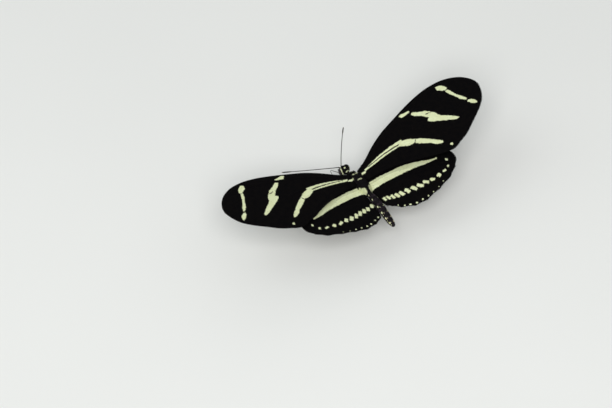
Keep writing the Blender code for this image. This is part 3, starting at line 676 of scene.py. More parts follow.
forewingMarks = {
    "stemPlaces": (4.5, 13.5), "stemHalfWidths": (0.12, 0.22),      # dark line along the inner band
    "cutHalfWidth": 0.11,                                           # dark lines across two bands
    # Marks lie a little off the shared places: on the right by these, on the left by their opposites.
    "lean": {"left": -1.0, "right": 1.0}, "shear": 0.055, "shearFrom": 3.5, "shift": 0.2, "shiftSlope": 0.012,
}
hindwingBand = (
    (1.0, -0.50), (2.0, -0.42), (2.9, -0.52), (5.5, -0.68), (8.5, -1.25), (11.5, -1.72), (13.0, -2.1),
    (14.5, -2.65), (16.0, -3.3), (17.5, -4.1), (19.0, -4.95), (20.2, -5.5), (21.2, -5.85), (21.3, -6.2),
    (20.6, -6.22), (18.0, -5.75), (15.0, -4.9), (12.0, -4.28), (8.5, -3.78), (5.5, -3.38), (2.5, -3.3),
    (0.9, -3.4),
)
# Row of slanted spots: middle (out, forward), half width across and half length along the slant, its angle.
hindwingSpots = {
    "left": (
        (23.05, -8.1, 0.32, 0.40, -60), (21.85, -10.0, 0.35, 0.44, -70), (19.7, -10.65, 0.33, 0.62, -14),
        (17.15, -10.8, 0.54, 0.64, -45), (14.85, -10.75, 0.44, 0.82, -28), (12.65, -10.35, 0.57, 0.72, -50),
        (10.8, -10.4, 0.56, 0.94, -52), (8.9, -10.05, 0.54, 0.95, -54), (7.25, -9.65, 0.53, 0.96, -56),
        (5.6, -9.32, 0.52, 0.86, -58), (4.05, -9.05, 0.50, 0.80, -62), (2.25, -8.45, 0.62, 0.80, -60),
    ),
    "right": (
        (23.65, -8.3, 0.32, 0.42, -60), (22.85, -10.25, 0.27, 0.33, -60), (21.2, -10.85, 0.34, 0.52, -8),
        (19.15, -11.1, 0.54, 0.60, -60), (16.95, -11.05, 0.46, 0.74, -30), (15.0, -10.6, 0.47, 0.86, -39),
        (13.1, -10.5, 0.50, 1.0, -48), (11.2, -10.12, 0.51, 0.98, -58), (9.3, -9.65, 0.52, 0.90, -66),
        (7.55, -9.4, 0.47, 0.90, -68), (6.22, -9.06, 0.42, 0.84, -72), (4.97, -8.65, 0.38, 0.82, -73),
        (3.8, -8.12, 0.34, 0.74, -77), (2.72, -7.82, 0.34, 0.68, -77),
    ),
}
spotGap = {"steeperThan": -40.0, "half": 0.07}      # steep spots leave at least this much dark beside each
# Round dots, the tip of the band and the row near the edge: place out and forward, and radius.
hindwingDots = {
    "left": (
        (20.95, -6.05, 0.22), (3.3, -13.1, 0.24), (4.8, -13.85, 0.26), (6.9, -14.65, 0.30),
        (8.5, -14.95, 0.25), (10.4, -14.88, 0.27), (12.3, -14.75, 0.16), (14.3, -14.5, 0.14),
        (16.4, -14.1, 0.12),
    ),
    "right": (
        (21.5, -6.17, 0.36), (19.1, -13.4, 0.10), (17.2, -14.05, 0.17), (15.05, -14.4, 0.18),
        (13.1, -14.55, 0.19), (11.25, -14.55, 0.28), (9.35, -14.3, 0.24), (7.55, -13.65, 0.25),
        (6.15, -12.95, 0.22), (4.7, -11.75, 0.16),
    ),
}
# Crimson spots near the root, which show only from below: middle and radius, narrower forward than out.
redSpots = {
    "forewing": ((4.2, 4.4, 0.5),),
    "hindwing": ((3.4, -0.2, 0.55), (4.8, -2.5, 0.5), (3.2, -4.6, 0.5), (5.6, -5.6, 0.4)),
}


def wingMiddle(kind, side, plan):
    # Plan point turned about the pivot, lifted by the wing's angle, and cambered by two parabolas.
    lift, turn = math.radians(wing["lift"][kind][side]), math.radians(wing["turn"][kind][side])
    pivot = wing["pivot"][kind]
    across, along = (plan[:, 0] - pivot[0]) * wing["stretch"][kind][side], plan[:, 1] - pivot[1]
    reach = pivot[0] + across * math.cos(turn) - along * math.sin(turn)
    ahead = pivot[1] + across * math.sin(turn) + along * math.cos(turn)
    camber = -wing["camberForeAft"][kind][side] * (ahead - 2.0) ** 2
    camber -= wing["camberSpan"] * ((reach - 20.0) ** 2 - 400.0)
    sign = -1.0 if side == "left" else 1.0
    height = reach * math.sin(lift) + camber - wing["drop"][kind]
    return np.stack((sign * reach * math.cos(lift), ahead, height), axis=1)


def wingNormal(kind, side, plan):
    # Cross product of the middle surface's two slopes, turned to point up.
    small = 0.05
    middle = wingMiddle(kind, side, plan)
    along = wingMiddle(kind, side, plan + (small, 0.0)) - middle
    ahead = wingMiddle(kind, side, plan + (0.0, small)) - middle
    normal = normalise(np.cross(along, ahead))
    return normal * np.sign(normal[:, 2:3])


def wingOutline(kind, side):
    # One smooth curve through the landmarks, split at two of them, and a straight root. A hindwing's edge
    # dips inwards by the sine of the place between two vein ends.
    edge = wingEdge[kind][side]
    front, rear = wing["rootFront"][kind], wing["rootRear"][kind]
    landmarks = np.array((front, *edge, rear))
    curve = curveThrough(landmarks, 0.12)
    if kind == "hindwing":
        veinEnds = np.array(edge[7:15])
        gaps = np.sort(np.linalg.norm(curve[:, None, :] - veinEnds[None], axis=2), axis=1)
        dip = wing["dip"] * np.sin(math.pi * gaps[:, 0] / (gaps[:, 0] + gaps[:, 1]))
        dip = np.where((curve[:, 1] < wing["dipBelow"]) & (curve[:, 0] > wing["dipBeyond"]), dip, 0.0)
        curve = curve + normalise(np.array(wing["dipMiddle"]) - curve) * dip[:, None]
    corners = landmarks[list(wing["corners"][kind])]
    first, second = np.argmin(np.linalg.norm(curve[:, None] - corners, axis=2), axis=0)
    return {"front": curve[: first + 1], "outer": curve[first: second + 1], "rear": curve[second:][::-1],
            "root": np.linspace(front, rear, 20), "whole": curve}


def wingPlan(kind, side):
    # Coons patch: the front and rear sides blended across, plus the root and outer sides blended along,
    # minus the bilinear blend of the four corners.
    across, along = wing["grid"][kind]
    sides = wingOutline(kind, side)
    front, rear = evenly(sides["front"], across + 1), evenly(sides["rear"], across + 1)
    outer, root = evenly(sides["outer"], along + 1), evenly(sides["root"], along + 1)
    u = np.linspace(0.0, 1.0, across + 1)[:, None, None]
    v = np.linspace(0.0, 1.0, along + 1)[None, :, None]
    blend = (1 - v) * front[:, None] + v * rear[:, None] + (1 - u) * root[None] + u * outer[None]
    frontCorners = (1 - v) * ((1 - u) * front[0] + u * front[-1])
    return blend - frontCorners - v * ((1 - u) * rear[0] + u * rear[-1])


def wingUnwrap(plan):
    # The wing's own flat plan, moved and shrunk into the unit square.
    return (plan + wing["unwrapShift"]) / wing["unwrapSize"]


def paleOnForewing(plan, side):
    # Largest field of the bands and the corner dot, cut by the thin dark lines along and across them.
    marks = forewingMarks
    lean = marks["lean"][side]
    out, forward = plan[:, 0], plan[:, 1]
    shifted = forward - lean * (marks["shift"] - marks["shiftSlope"] * out)
    plan = np.stack((out - lean * marks["shear"] * (forward - marks["shearFrom"]), shifted), axis=1)
    value = diskField(plan, forewingCorner)
    for band in forewingBands:
        value = np.maximum(value, ringField(plan, curveThrough(band, 0.3, closed=True)))
    half = np.interp(plan[:, 0], marks["stemPlaces"], marks["stemHalfWidths"])
    value = np.minimum(value, lineDistance(plan, curveThrough(forewingStem, 0.5)) - half)
    for cut in forewingCuts:
        value = np.minimum(value, lineDistance(plan, np.array(cut)) - marks["cutHalfWidth"])
    return value


def paleOnHindwing(plan, side):
    # Largest field of the band, the spots and the dots.
    value = ringField(plan, curveThrough(hindwingBand, 0.3, closed=True))
    spots = np.array(hindwingSpots[side])
    for i, spot in enumerate(spots):
        # A steep spot's half width is cut where its neighbour would come nearer than a thin dark gap.
        turn = math.radians(spot[4])
        near = np.vstack((spots[max(i - 1, 0):i, :2], spots[i + 1:i + 2, :2])) - spot[:2]
        apart = np.abs(near[:, 0] * math.sin(turn) - near[:, 1] * math.cos(turn)).min()
        half = spot[2]
        if spot[4] <= spotGap["steeperThan"]:
            half = min(half, 0.5 * apart - spotGap["half"])
        value = np.maximum(value, boxField(plan, (*spot[:2], half, *spot[3:])))
    for dot in hindwingDots[side]:
        value = np.maximum(value, diskField(plan, dot))
    return value


paleOnWing = {"forewing": paleOnForewing, "hindwing": paleOnHindwing}


def redOnWing(kind, plan):
    # Largest of the fields of the crimson spots, each an ellipse: radius minus the stretched distance.
    value = np.full(len(plan), -farOff)
    for spot in redSpots[kind]:
        value = np.maximum(value, spot[2] - np.linalg.norm((plan - spot[:2]) * (0.7, 1.0), axis=1))
    return value


def wingRelief(kind, side, plan):
    # Half thickness = edge to membrane over the border, plus a root that dies away outwards; veins stand up
    # by ridge * (2 - ridge), and the membrane folds down between them by an exponential of the distance.
    rim = lineDistance(plan, evenly(wingOutline(kind, side)["whole"], 260))
    thin = 1.0 - wing["veinTaper"] * plan[:, 0] / wing["reach"][kind]
    nearest = np.full(len(plan), 9.0)
    for vein in wingVeins[kind][side]:
        nearest = np.minimum(nearest, lineDistance(plan, curveThrough(vein, 0.8)))
    ridge = thin * np.clip(1.0 - nearest / (wing["veinHalfWidth"] * thin), 0.0, 1.0)
    fade = np.clip(rim / wing["rimFade"], 0.0, 1.0)
    fade = fade * fade * (3 - 2 * fade)
    root = np.exp(-np.maximum(plan[:, 0] - wing["pivot"][kind][0], 0.0) / wing["rootFade"])
    half = 0.5 * (wing["edge"] + (wing["membrane"] - wing["edge"]) * fade + wing["rootThick"] * root)
    pleat = wing["pleat"] * (np.exp(-nearest / wing["pleatReach"]) - 0.35) * fade
    lump = wing["veinHeight"] * ridge * (2.0 - ridge) * fade
    return half[:, None], lump[:, None], pleat[:, None]


def buildWing(kind, side):
    # Upper and lower skins, half the thickness to each side of the middle surface, joined round the rim.
    grid = wingPlan(kind, side)
    rows, columns = grid.shape[:2]
    plan = grid.reshape(-1, 2)
    half, lump, pleat = wingRelief(kind, side, plan)
    normal = wingNormal(kind, side, plan)
    middle = wingMiddle(kind, side, plan) + normal * pleat
    upper = middle + normal * (half + wing["veinUpper"] * lump)
    lower = middle - normal * (half + lump)
    index = np.arange(rows * columns).reshape(rows, columns)
    top = np.stack((index[:-1, :-1], index[1:, :-1], index[1:, 1:], index[:-1, 1:]), axis=-1).reshape(-1, 4)
    bottom = top[:, ::-1] + rows * columns
    ring = np.concatenate((index[:-1, 0], index[-1, :-1], index[:0:-1, -1], index[0, :0:-1]))
    beside = np.roll(ring, -1)
    rimFaces = np.stack((beside, ring, ring + rows * columns, beside + rows * columns), axis=-1)
    number = np.concatenate((np.zeros(len(top)), np.ones(len(bottom)), np.zeros(len(rimFaces))))
    pale, red = paleOnWing[kind](plan, side), redOnWing(kind, plan)
    addPiece(kind + "Skin_" + side, np.vstack((upper, lower)), [np.vstack((top, bottom, rimFaces))],
             [paints["wingUpper"], paints["wingUnder"]], [kind + "_" + side], number,
             np.tile(wingUnwrap(plan), (2, 1)), {"paleField": np.tile(pale, 2), "redField": np.tile(red, 2)})


for kind in ("forewing", "hindwing"):
    for side in ("left", "right"):
        buildWing(kind, side)
print("wings made")

# Body: one skin over head, neck, thorax and abdomen

body = {
    "headYaw": 10.0, "neckY": 6.7, "neckZ": -2.25,
    "headGap": 0.4285,      # from the neck to the head's own origin
    "waist": (0.0, -4.3, -0.65), "abdomenTip": (0.45, -16.35, -3.05), "abdomenArch": 1.5, "segments": 8,
    "around": 120, "step": 0.065,
    "coatDepth": {"neck": 0.10, "thorax": 0.20, "abdomen": 0.07},      # how far the skin lies under the coat
    "headTop": 6.3,         # marks of the head are drawn ahead of this
}
# Head: place ahead, half width and half height.
headStations = ((0.0, 0.70, 0.76), (0.605, 1.10, 1.16), (1.265, 1.26, 1.34), (1.925, 1.18, 1.26),
                (2.475, 0.82, 0.86), (2.75, 0.38, 0.42))
# Rings of the head's skin: place ahead, and share of the half sizes there.
headRings = ((2.66, 0.62), (2.60, 0.72), (2.45, 0.86), (2.2, 0.89), (1.9, 0.90), (1.55, 0.90), (1.2, 0.90),
             (0.85, 0.89), (0.5, 0.88), (0.22, 0.86), (0.0, 0.84))
# Rings of the neck: centre, half width, half height and share of the head's yaw.
neckRings = ((-0.03, 6.78, -2.25, 0.50, 0.54, 0.6), (0.0, 6.45, -2.17, 0.54, 0.60, 0.2))
# Thorax: place along y, half width, half height and how far its middle lies below the body's origin.
thoraxStations = (
    (-4.0, 1.05, 1.15, 0.65), (-3.2, 1.62, 1.85, 0.76), (-1.6, 2.05, 2.35, 0.72), (0.4, 2.15, 2.45, 0.70),
    (2.4, 2.05, 2.30, 0.80), (4.0, 1.70, 1.85, 1.05), (5.4, 1.22, 1.35, 1.55), (6.7, 0.74, 0.80, 2.25),
)
thoraxRings = (6.1, 5.6, 5.0, 4.4, 3.7, 3.0, 2.2, 1.4, 0.6, -0.2, -1.0, -1.8, -2.5, -3.1, -3.6, -3.95)
# Abdomen: share of its length, and half width.
abdomenWidth = ((0.0, 1.0), (0.12, 1.16), (0.45, 1.27), (0.72, 1.2), (0.88, 0.98), (0.97, 0.62), (1.0, 0.34))
abdomenRings = (0.0, 0.03, 0.08, 0.16, 0.26, 0.36, 0.46, 0.56, 0.66, 0.76, 0.85, 0.92, 0.965, 0.99)
# Relief of the thorax: how far it stands out, its place along y, and its width there.
thoraxRelief = {
    "backPlateEdge": (-0.16, -1.95, 0.20), "rearPlateEdge": (-0.12, -3.15, 0.16),
    "collarGroove": (-0.12, 5.45, 0.16), "collarPlates": (0.32, 5.15, 0.50),
    "shoulderPlates": (0.48, 2.75, 0.85),
    "frontSeam": (-0.10, 1.4, 0.16), "rearSeam": (-0.10, -1.2, 0.16),
}
abdomenRelief = {"swell": 0.055, "step": 0.075, "fold": 0.07, "foldPlace": -0.38, "foldWidth": 0.10}


def headPoint(out, ahead, up):
    # Head's own frame, turned on the neck, to body millimetres.
    out, ahead, up = np.broadcast_arrays(*[np.asarray(part, float) for part in (out, ahead, up)])
    turn = math.radians(body["headYaw"])
    ahead = ahead + body["headGap"]
    x = out * math.cos(turn) - ahead * math.sin(turn)
    y = body["neckY"] + ahead * math.cos(turn) + out * math.sin(turn)
    return np.stack((x, y, body["neckZ"] + up), axis=-1)


def headLocal(points):
    # The same the other way round: body millimetres to out, ahead and up in the head's frame.
    turn = math.radians(body["headYaw"])
    x, y = points[..., 0], points[..., 1] - body["neckY"]
    out = x * math.cos(turn) + y * math.sin(turn)
    ahead = -x * math.sin(turn) + y * math.cos(turn) - body["headGap"]
    return np.stack((out, ahead, points[..., 2] - body["neckZ"]), axis=-1)


def headPoints(points, sign=1.0):
    # A list of points in the head's own frame, to body millimetres; the sign puts them on one side.
    return headPoint(sign * points[:, 0], points[:, 1], points[:, 2])


def thoraxSize(y):
    # Half width, half height and drop of the thorax at one place.
    table = np.array(thoraxStations)
    return smoothRows(table[:, 0], table[:, 1:], np.array([float(y)]))[0]


def abdomenLine(t):
    # Straight line from the waist to the tip, raised by arch * sin(pi * t) * (1 - t).
    start, tip = np.array(body["waist"]), np.array(body["abdomenTip"])
    line = start + (tip - start) * t[:, None]
    line[:, 2] += body["abdomenArch"] * np.sin(math.pi * t) * (1.0 - t)
    line[:, 0] *= t
    return line


def bodyLandmarks():
    # Rows of centre x, y, z, half width, half height, yaw and tilt, from the face to the abdomen's tip.
    yaw = math.radians(body["headYaw"])
    depth = body["coatDepth"]
    ahead, share = np.array(headRings).T
    stations = np.array(headStations)
    sizes = smoothRows(stations[:, 0], stations[:, 1:], ahead) * share[:, None]
    rows = [(*c, *size, yaw, 0.0) for c, size in zip(headPoint(0.0 * ahead, ahead, 0.0 * ahead), sizes)]
    rows += [(*ring[:5], yaw * ring[5], 0.0) for ring in neckRings]
    for y in thoraxRings:
        wide, high, drop = thoraxSize(y)
        under = depth["neck"] + (depth["thorax"] - depth["neck"]) * min(1.0, (6.4 - y) / 2.0)
        rows.append((0.0, y, -drop, wide - under, high - under, 0.0, 0.0))
    t = np.array(abdomenRings)
    line = abdomenLine(t)
    slope = normalise(abdomenLine(np.minimum(t + 0.02, 1.0)) - abdomenLine(np.maximum(t - 0.02, 0.0)))
    tilt = np.arctan2(-slope[:, 2], -slope[:, 1]) * np.minimum(t * 4.0, 1.0)
    stations = np.array(abdomenWidth)
    wide = smoothRows(stations[:, 0], stations[:, 1:], t)[:, 0] - depth["abdomen"]
    rows += [(*c, w * 0.96, w, 0.0, angle) for c, w, angle in zip(line, wide, tilt)]
    return np.array(rows)


def bodyRelief(y, cosine, sine, along):
    # How far the skin stands off its plain rings: bell-shaped grooves and plates on the thorax, and on every
    # segment of the abdomen a swelling to its rear edge, a step under it and a fold low on each side.
    top, low, side = np.clip(sine * 1.6, 0.0, 1.0), np.clip(-sine * 2, 0.0, 1.0), np.abs(cosine)
    inThorax = rise(y, -4.2, 0.6) * rise(-y, -6.3, 0.6)

    def bump(name, place):
        depth, middle, width = thoraxRelief[name]
        return depth * hump(place, middle, width)

    push = -0.07 * hump(cosine * 2.0, 0.0, 0.16) * inThorax * top * rise(y, -1.8, 0.5)  # line down the back
    push = push + top * (bump("backPlateEdge", y + 0.5 * side) + bump("rearPlateEdge", y))
    push += bump("collarGroove", y) * (0.4 + 0.6 * top)
    push += bump("collarPlates", y) * hump(sine, 0.86, 0.22) * np.clip(side * 3, 0, 1)
    push += bump("shoulderPlates", y) * hump(sine, 0.80, 0.20) * np.clip(side * 2, 0, 1)
    push += (bump("frontSeam", y - 1.3 * sine) + bump("rearSeam", y - sine)) * low * inThorax
    share = (along * body["segments"]) % 1.0
    swell = abdomenRelief["swell"] * share**1.5 - abdomenRelief["step"] * hump(share, 0.0, 0.07)
    push += np.where((along > 0.02) & (along < 0.97), swell, 0.0) * rise(along, 0.02, 0.1)
    fold = hump(sine, abdomenRelief["foldPlace"], abdomenRelief["foldWidth"]) * np.clip(along * 6, 0, 1)
    return push - abdomenRelief["fold"] * fold


def bodyGrid():
    # Ellipse rings square to the body's line, each point moved out along its radius by the relief.
    rows = curveThrough(bodyLandmarks(), body["step"])
    angle = np.linspace(0.0, 2 * math.pi, body["around"], endpoint=False)
    yaw, tilt = rows[:, 5], rows[:, 6]
    right = np.stack((np.cos(yaw), np.sin(yaw), 0 * yaw), axis=1)[:, None, :]
    up = np.stack((0 * tilt, -np.sin(tilt), np.cos(tilt)), axis=1)[:, None, :]
    cosine, sine = np.cos(angle)[None], np.sin(angle)[None]
    waist, tip = body["waist"][1], body["abdomenTip"][1]
    along = np.clip((rows[:, 1] - waist) / (tip - waist), 0.0, 1.0)
    push = bodyRelief(rows[:, 1:2], cosine, sine, along[:, None])
    wide, high = (rows[:, 3:4] + push) * cosine, (rows[:, 4:5] + push) * sine
    return rows[:, None, :3] + wide[..., None] * right + high[..., None] * up, along


def gridNormals(grid):
    # Cross product of the slopes along and round a tube-shaped grid, pointing away from each ring's middle.
    along = np.gradient(grid, axis=0)
    aroundSlope = np.roll(grid, -1, axis=1) - np.roll(grid, 1, axis=1)
    normal = normalise(np.cross(along, aroundSlope))
    outward = grid - grid.mean(axis=1, keepdims=True)
    flip = np.sign(np.einsum("ijk,ijk->ij", normal, outward))
    return normal * np.where(flip == 0, 1.0, flip)[..., None]


def ringSize(grid):
    # Mean radius of each ring of a tube-shaped grid.
    return np.linalg.norm(grid - grid.mean(axis=1, keepdims=True), axis=-1).mean(axis=1)


def gridPick(grid, row, column):
    # Bilinear reading of a tube-shaped grid at fractional rows and columns.
    low = np.clip(np.floor(row).astype(int), 0, grid.shape[0] - 2)
    left = np.floor(column).astype(int) % grid.shape[1]
    right = (left + 1) % grid.shape[1]
    down, over = (row - low)[:, None], (column - np.floor(column))[:, None]
    first = grid[low, left] * (1 - over) + grid[low, right] * over
    second = grid[low + 1, left] * (1 - over) + grid[low + 1, right] * over
    return first * (1 - down) + second * down


eye = {
    "half": (1.08, 1.11, 1.37), "centre": (0.80, 1.47, -0.02),
    "reach": (0.02, 1.75),      # radians from its outward pole
    "rows": 56, "around": 84,
}

# Pale marks of head and body: middle (x, y, z) in body millimetres and half size along each axis, on both sides;
# the head's marks are in its own frame (out, ahead, up).
bodyMarks = (
    ((0.38, 5.65, -0.60), (0.20, 0.20, 0.5)),
    ((1.25, 4.30, -0.35), (0.22, 0.20, 0.4)),
    ((0.50, 3.62, 0.80), (0.34, 0.46, 0.6)),
    ((1.45, 2.30, 0.75), (0.32, 0.24, 0.4)),
    ((1.30, -2.95, 0.20), (0.95, 1.08, 1.3)),
    ((1.85, -1.80, 0.15), (0.48, 0.72, 0.8)),
    ((1.6, 3.4, -1.4), (0.6, 0.35, 0.45)),
    ((2.1, 1.2, -1.6), (0.6, 0.35, 0.5)),
    ((2.0, -1.0, -1.9), (0.6, 0.35, 0.5)),
)
backMark = ((-0.20, 0.85, 1.45), (0.72, 0.20, 0.5))     # the one mark that isn't on both sides
headMarks = (
    ((0.12, 1.28, 1.16), (0.22, 0.22, 0.4)),
    ((0.30, 0.20, 0.62), (0.31, 0.17, 0.28)),
    ((0.42, 2.45, 0.1), (0.12, 0.4, 0.8)),
)
# Rows of pale spots down the abdomen, the last partly a painted reflection: degrees from its top, places along
# y, half size across and along.
abdomenRows = (
    (56.0, (-9.5, -11.45, -13.35, -14.95), (0.24, 0.32)),
    (54.0, (-4.9, -6.9), (0.15, 0.32)),
    (62.0, (-12.3, -14.15, -15.65), (0.11, 0.16)),
    # This small row at 30 degrees is in part painted light: a painted reflection along the abdomen's upper side,
    # drawn as pale spots on both sides.
    (30.0, (-9.95, -11.8, -13.45, -15.05), (0.09, 0.15)),
)
# Pale bar low on each side of every segment: shares of the segment, radians from the top, and half height.
abdomenBar = {"from": 0.12, "to": 0.95, "angle": 2.32, "half": 0.11}


def paleOnBody(points):
    # Largest field of all the marks: one minus the distance to a mark's middle in units of its half size.
    both, local = points * 1.0, headLocal(points)
    both[..., 0] = np.abs(both[..., 0])
    local[..., 0] = np.abs(local[..., 0])

    def largest(places, marks):
        fields = [1.0 - np.linalg.norm((places - middle) / half, axis=-1) for middle, half in marks]
        return np.max(fields, axis=0)

    head = np.where(points[..., 1] > body["headTop"], largest(local, headMarks), -1.0)
    return np.maximum(head, np.maximum(largest(points, (backMark,)), largest(both, bodyMarks)))


def paleOnAbdomen(grid, along):
    # Rows of spots at set places along it, their angle from the top measured as a length over the skin; and a
    # pale bar low on each side of every segment, under the fold.
    angle = np.linspace(0.0, 2 * math.pi, grid.shape[1], endpoint=False)[None]
    fromTop = np.abs(np.arctan2(np.cos(angle), np.sin(angle)))
    y, girth = grid[:, :, 1].mean(axis=1)[:, None], ringSize(grid)[:, None]
    share = (along * body["segments"])[:, None] % 1.0
    inBar = (share > abdomenBar["from"]) & (share < abdomenBar["to"])
    value = np.where(inBar, 1.0 - np.abs(fromTop - abdomenBar["angle"]) / abdomenBar["half"], -1.0)
    for degrees, places, half in abdomenRows:
        sideways = (fromTop - math.radians(degrees)) * girth / half[0]
        for place in places:
            value = np.maximum(value, 1.0 - np.hypot(sideways, (y - place) / half[1]))
    inside = (along > 0.0) & (along < 0.97)
    return np.where(inside[:, None], value, -1.0)


skinGrid, abdomenShare = bodyGrid()
skinNormals = gridNormals(skinGrid)
skinLie = normalise(np.gradient(skinGrid, axis=0))
skinPale = np.maximum(paleOnBody(skinGrid), paleOnAbdomen(skinGrid, abdomenShare))
skinPoints, skinFaces = closeTube(skinGrid)
rowShare = np.linspace(0.0, 1.0, skinGrid.shape[0])
columnShare = np.linspace(0.0, 1.0, skinGrid.shape[1], endpoint=False)
skinUv = np.stack(np.meshgrid(columnShare, rowShare), axis=-1).reshape(-1, 2)
skinUv = np.vstack((skinUv, ((0.5, 0.0), (0.5, 1.0))))
addPiece("bodySkin", skinPoints, skinFaces, [paints["bodySkin"]], ["head", "thorax", "abdomen"],
         uv=skinUv, fields={"paleField": np.concatenate((skinPale.ravel(), (-1.0, -1.0)))})
print("body skin made")

# Eyes, feelers, palps and tongue

feeler = {
    "base": (0.33, 2.25, 0.10), "start": (0.45, 3.15, 0.0),     # in the face, and where it runs straight from
    "reach": {"left": (12.7, 10.55, -1.07), "right": (10.9, 10.6, -0.6)},
    "curl": {"left": -0.03, "right": 0.12},
    "radius": 0.115, "clubRadius": 0.20, "clubShare": 0.17, "taper": 0.18, "joints": 38, "beadDepth": 0.14,
    "rows": 420, "stemRows": 24, "around": 18, "paleFrom": 0.985,
}
palp = {
    "line": ((0.34, 1.85, -1.0), (0.46, 2.42, -1.40), (0.53, 2.85, -1.45), (0.55, 3.22, -1.20),
             (0.53, 3.42, -0.78)),
    "radius": 0.19, "swell": 0.05, "taper": 0.10, "waist": 0.18, "waists": ((0.28, 0.03), (0.78, 0.025)),
    "rows": 70, "around": 20,
}
tongue = {
    "line": ((0.0, 1.95, -1.0), (0.0, 2.25, -1.9), (0.0, 3.5, -2.95), (0.0, 5.1, -3.85), (0.0, 6.8, -4.85),
             (0.0, 7.0, -5.5), (0.0, 6.3, -6.5)),
    "radius": 0.125, "taper": 0.055, "rings": 900.0, "ringDepth": 0.05, "pinch": 0.28, "around": 20,
}


def makeEye(side, sign):
    # Ellipsoid whose pole points out to the side: half sizes times (cos b, sin b cos a, sin b sin a), to just
    # past its middle, closed flat inside the head.
    b = np.linspace(*eye["reach"], eye["rows"])[:, None]
    a = np.linspace(0.0, 2 * math.pi, eye["around"], endpoint=False)[None]
    half, centre = eye["half"], eye["centre"]
    out = centre[0] + half[0] * np.cos(b) + 0.0 * a
    ahead = centre[1] + half[1] * np.sin(b) * np.cos(a)
    up = centre[2] + half[2] * np.sin(b) * np.sin(a)
    points, faces = closeTube(headPoint(sign * out, ahead, up))
    addPiece("eyeBall_" + side, points, faces, [paints["eye"]], ["eye_" + side])


def makeFeeler(side, sign):
    # Line from the front of the face, its outward part coming a little late by the curl times t * (1 - t);
    # radius = a thin rod with a bead at every joint, swelling to a long club.
    start, reach = np.array(feeler["start"]), np.array(feeler["reach"][side])
    t = np.linspace(0.0, 1.0, feeler["rows"])
    line = start + reach * t[:, None]
    line[:, 0] -= reach[0] * feeler["curl"][side] * t * (1.0 - t)
    base = np.array(feeler["base"])
    stem = base + (line[0] - base) * np.linspace(0.0, 1.0, feeler["stemRows"])[:, None] ** 0.9
    line = np.vstack((stem[:-1], line))
    length = np.concatenate(([0.0], np.cumsum(np.linalg.norm(np.diff(line, axis=0), axis=1))))
    share = length / length[-1]
    club = rise(share, 1.0 - feeler["clubShare"], feeler["clubShare"])
    swell = np.maximum(np.sin(math.pi * club**0.8 * 0.86), 0.0)
    radius = feeler["radius"] * (1.0 - feeler["taper"] * share)
    radius += (feeler["clubRadius"] - feeler["radius"]) * swell
    bead = np.abs(np.sin(math.pi * share * feeler["joints"])) ** 0.35
    radius *= 1.0 - feeler["beadDepth"] * (1.0 - bead)
    radius += 0.09 * (hump(length, 0.55, 0.25) + 0.55 * hump(length, 1.0, 0.13))    # two thick root joints
    roundTip(radius, 12, 0.02)
    around = feeler["around"]
    points, faces = closeTube(tubeRings(headPoints(line, sign), radius, around))
    pale = np.repeat(np.where(share > feeler["paleFrom"], 0.4, -1.0), around)
    addPiece("feeler_" + side, points, faces, [paints["feeler"]], ["antenna_" + side],
             fields={"paleField": np.concatenate((pale, (-1.0, 0.4))),
                     "shade": np.concatenate((np.repeat(bead, around), (0.5, 0.5)))})


def makePalp(side, sign):
    # Three-jointed rod from under the face, curving up in front of it: radius = a swelling sine less a cube
    # of the length, pinched by a bell at each joint.
    line = evenly(curveThrough(palp["line"], 0.05), palp["rows"])
    t = np.linspace(0.0, 1.0, palp["rows"])
    radius = palp["radius"] + palp["swell"] * np.sin(math.pi * np.clip(t * 1.25, 0, 1)) - palp["taper"] * t**3
    radius *= 1.0 - palp["waist"] * sum(hump(t, place, width) for place, width in palp["waists"])
    roundTip(radius, 8, 0.04)
    rings = tubeRings(headPoints(line, sign), radius, palp["around"], upward=(1.0, 0.0, 0.0))
    points, faces = closeTube(rings)
    addPiece("palp_" + side + "Skin", points, faces, [paints["limb"]], ["palp_" + side])


def makeTongue():
    # Thin tapered tube, ringed by a fast sine, its section pinched on two sides by cos a to the power of 8.
    line = curveThrough(tongue["line"], 0.03)
    share = np.linspace(0.0, 1.0, len(line))
    radius = tongue["radius"] - tongue["taper"] * share
    radius *= 1.0 - tongue["ringDepth"] * (1.0 - np.sin(share * tongue["rings"]))
    roundTip(radius, 6, 0.05)
    rings = tubeRings(headPoints(line), radius, tongue["around"], upward=(1.0, 0.2, 0.0))
    angle = np.linspace(0.0, 2 * math.pi, tongue["around"], endpoint=False)
    pinch = 1.0 - tongue["pinch"] * np.abs(np.cos(angle)) ** 8
    middle = rings.mean(axis=1, keepdims=True)
    points, faces = closeTube(middle + (rings - middle) * pinch[None, :, None])
    addPiece("tongue", points, faces, [paints["tongue"]], ["proboscis"])


for side, sign in (("left", -1), ("right", 1)):
    makeEye(side, sign)
    makeFeeler(side, sign)
    makePalp(side, sign)
makeTongue()
print("head parts made")

# Legs: places are for the right side, and the sign mirrors them.

leg = {
    "floor": -11.0, "around": 18, "hip": 1.32,      # length of the hip, straight out of the thorax
    "hipRadii": ((-0.9, 0.50), (0.2, 0.46), (1.32, 0.30)),      # place along it, and radius
    "thighRadii": ((0.06, 0.22), (0.16, 0.26), (0.6, 0.273), (0.93, 0.20)),     # share of length, and radius
    "shinRadii": ((0.0, 0.19), (0.07, 0.15), (0.2, 0.19), (0.85, 0.1995), (0.97, 0.2185), (1.0, 0.13)),
    "foot": 0.15, "footJoints": 5,
    "claw": 0.045, "clawLength": 0.42,
    "bristles": 46, "bristleFrom": 0.30, "bristleTo": 0.995, "bristle": 0.20, "bristleHalfWidth": 0.016,
    "spur": 0.42, "spurEvery": 11,
}
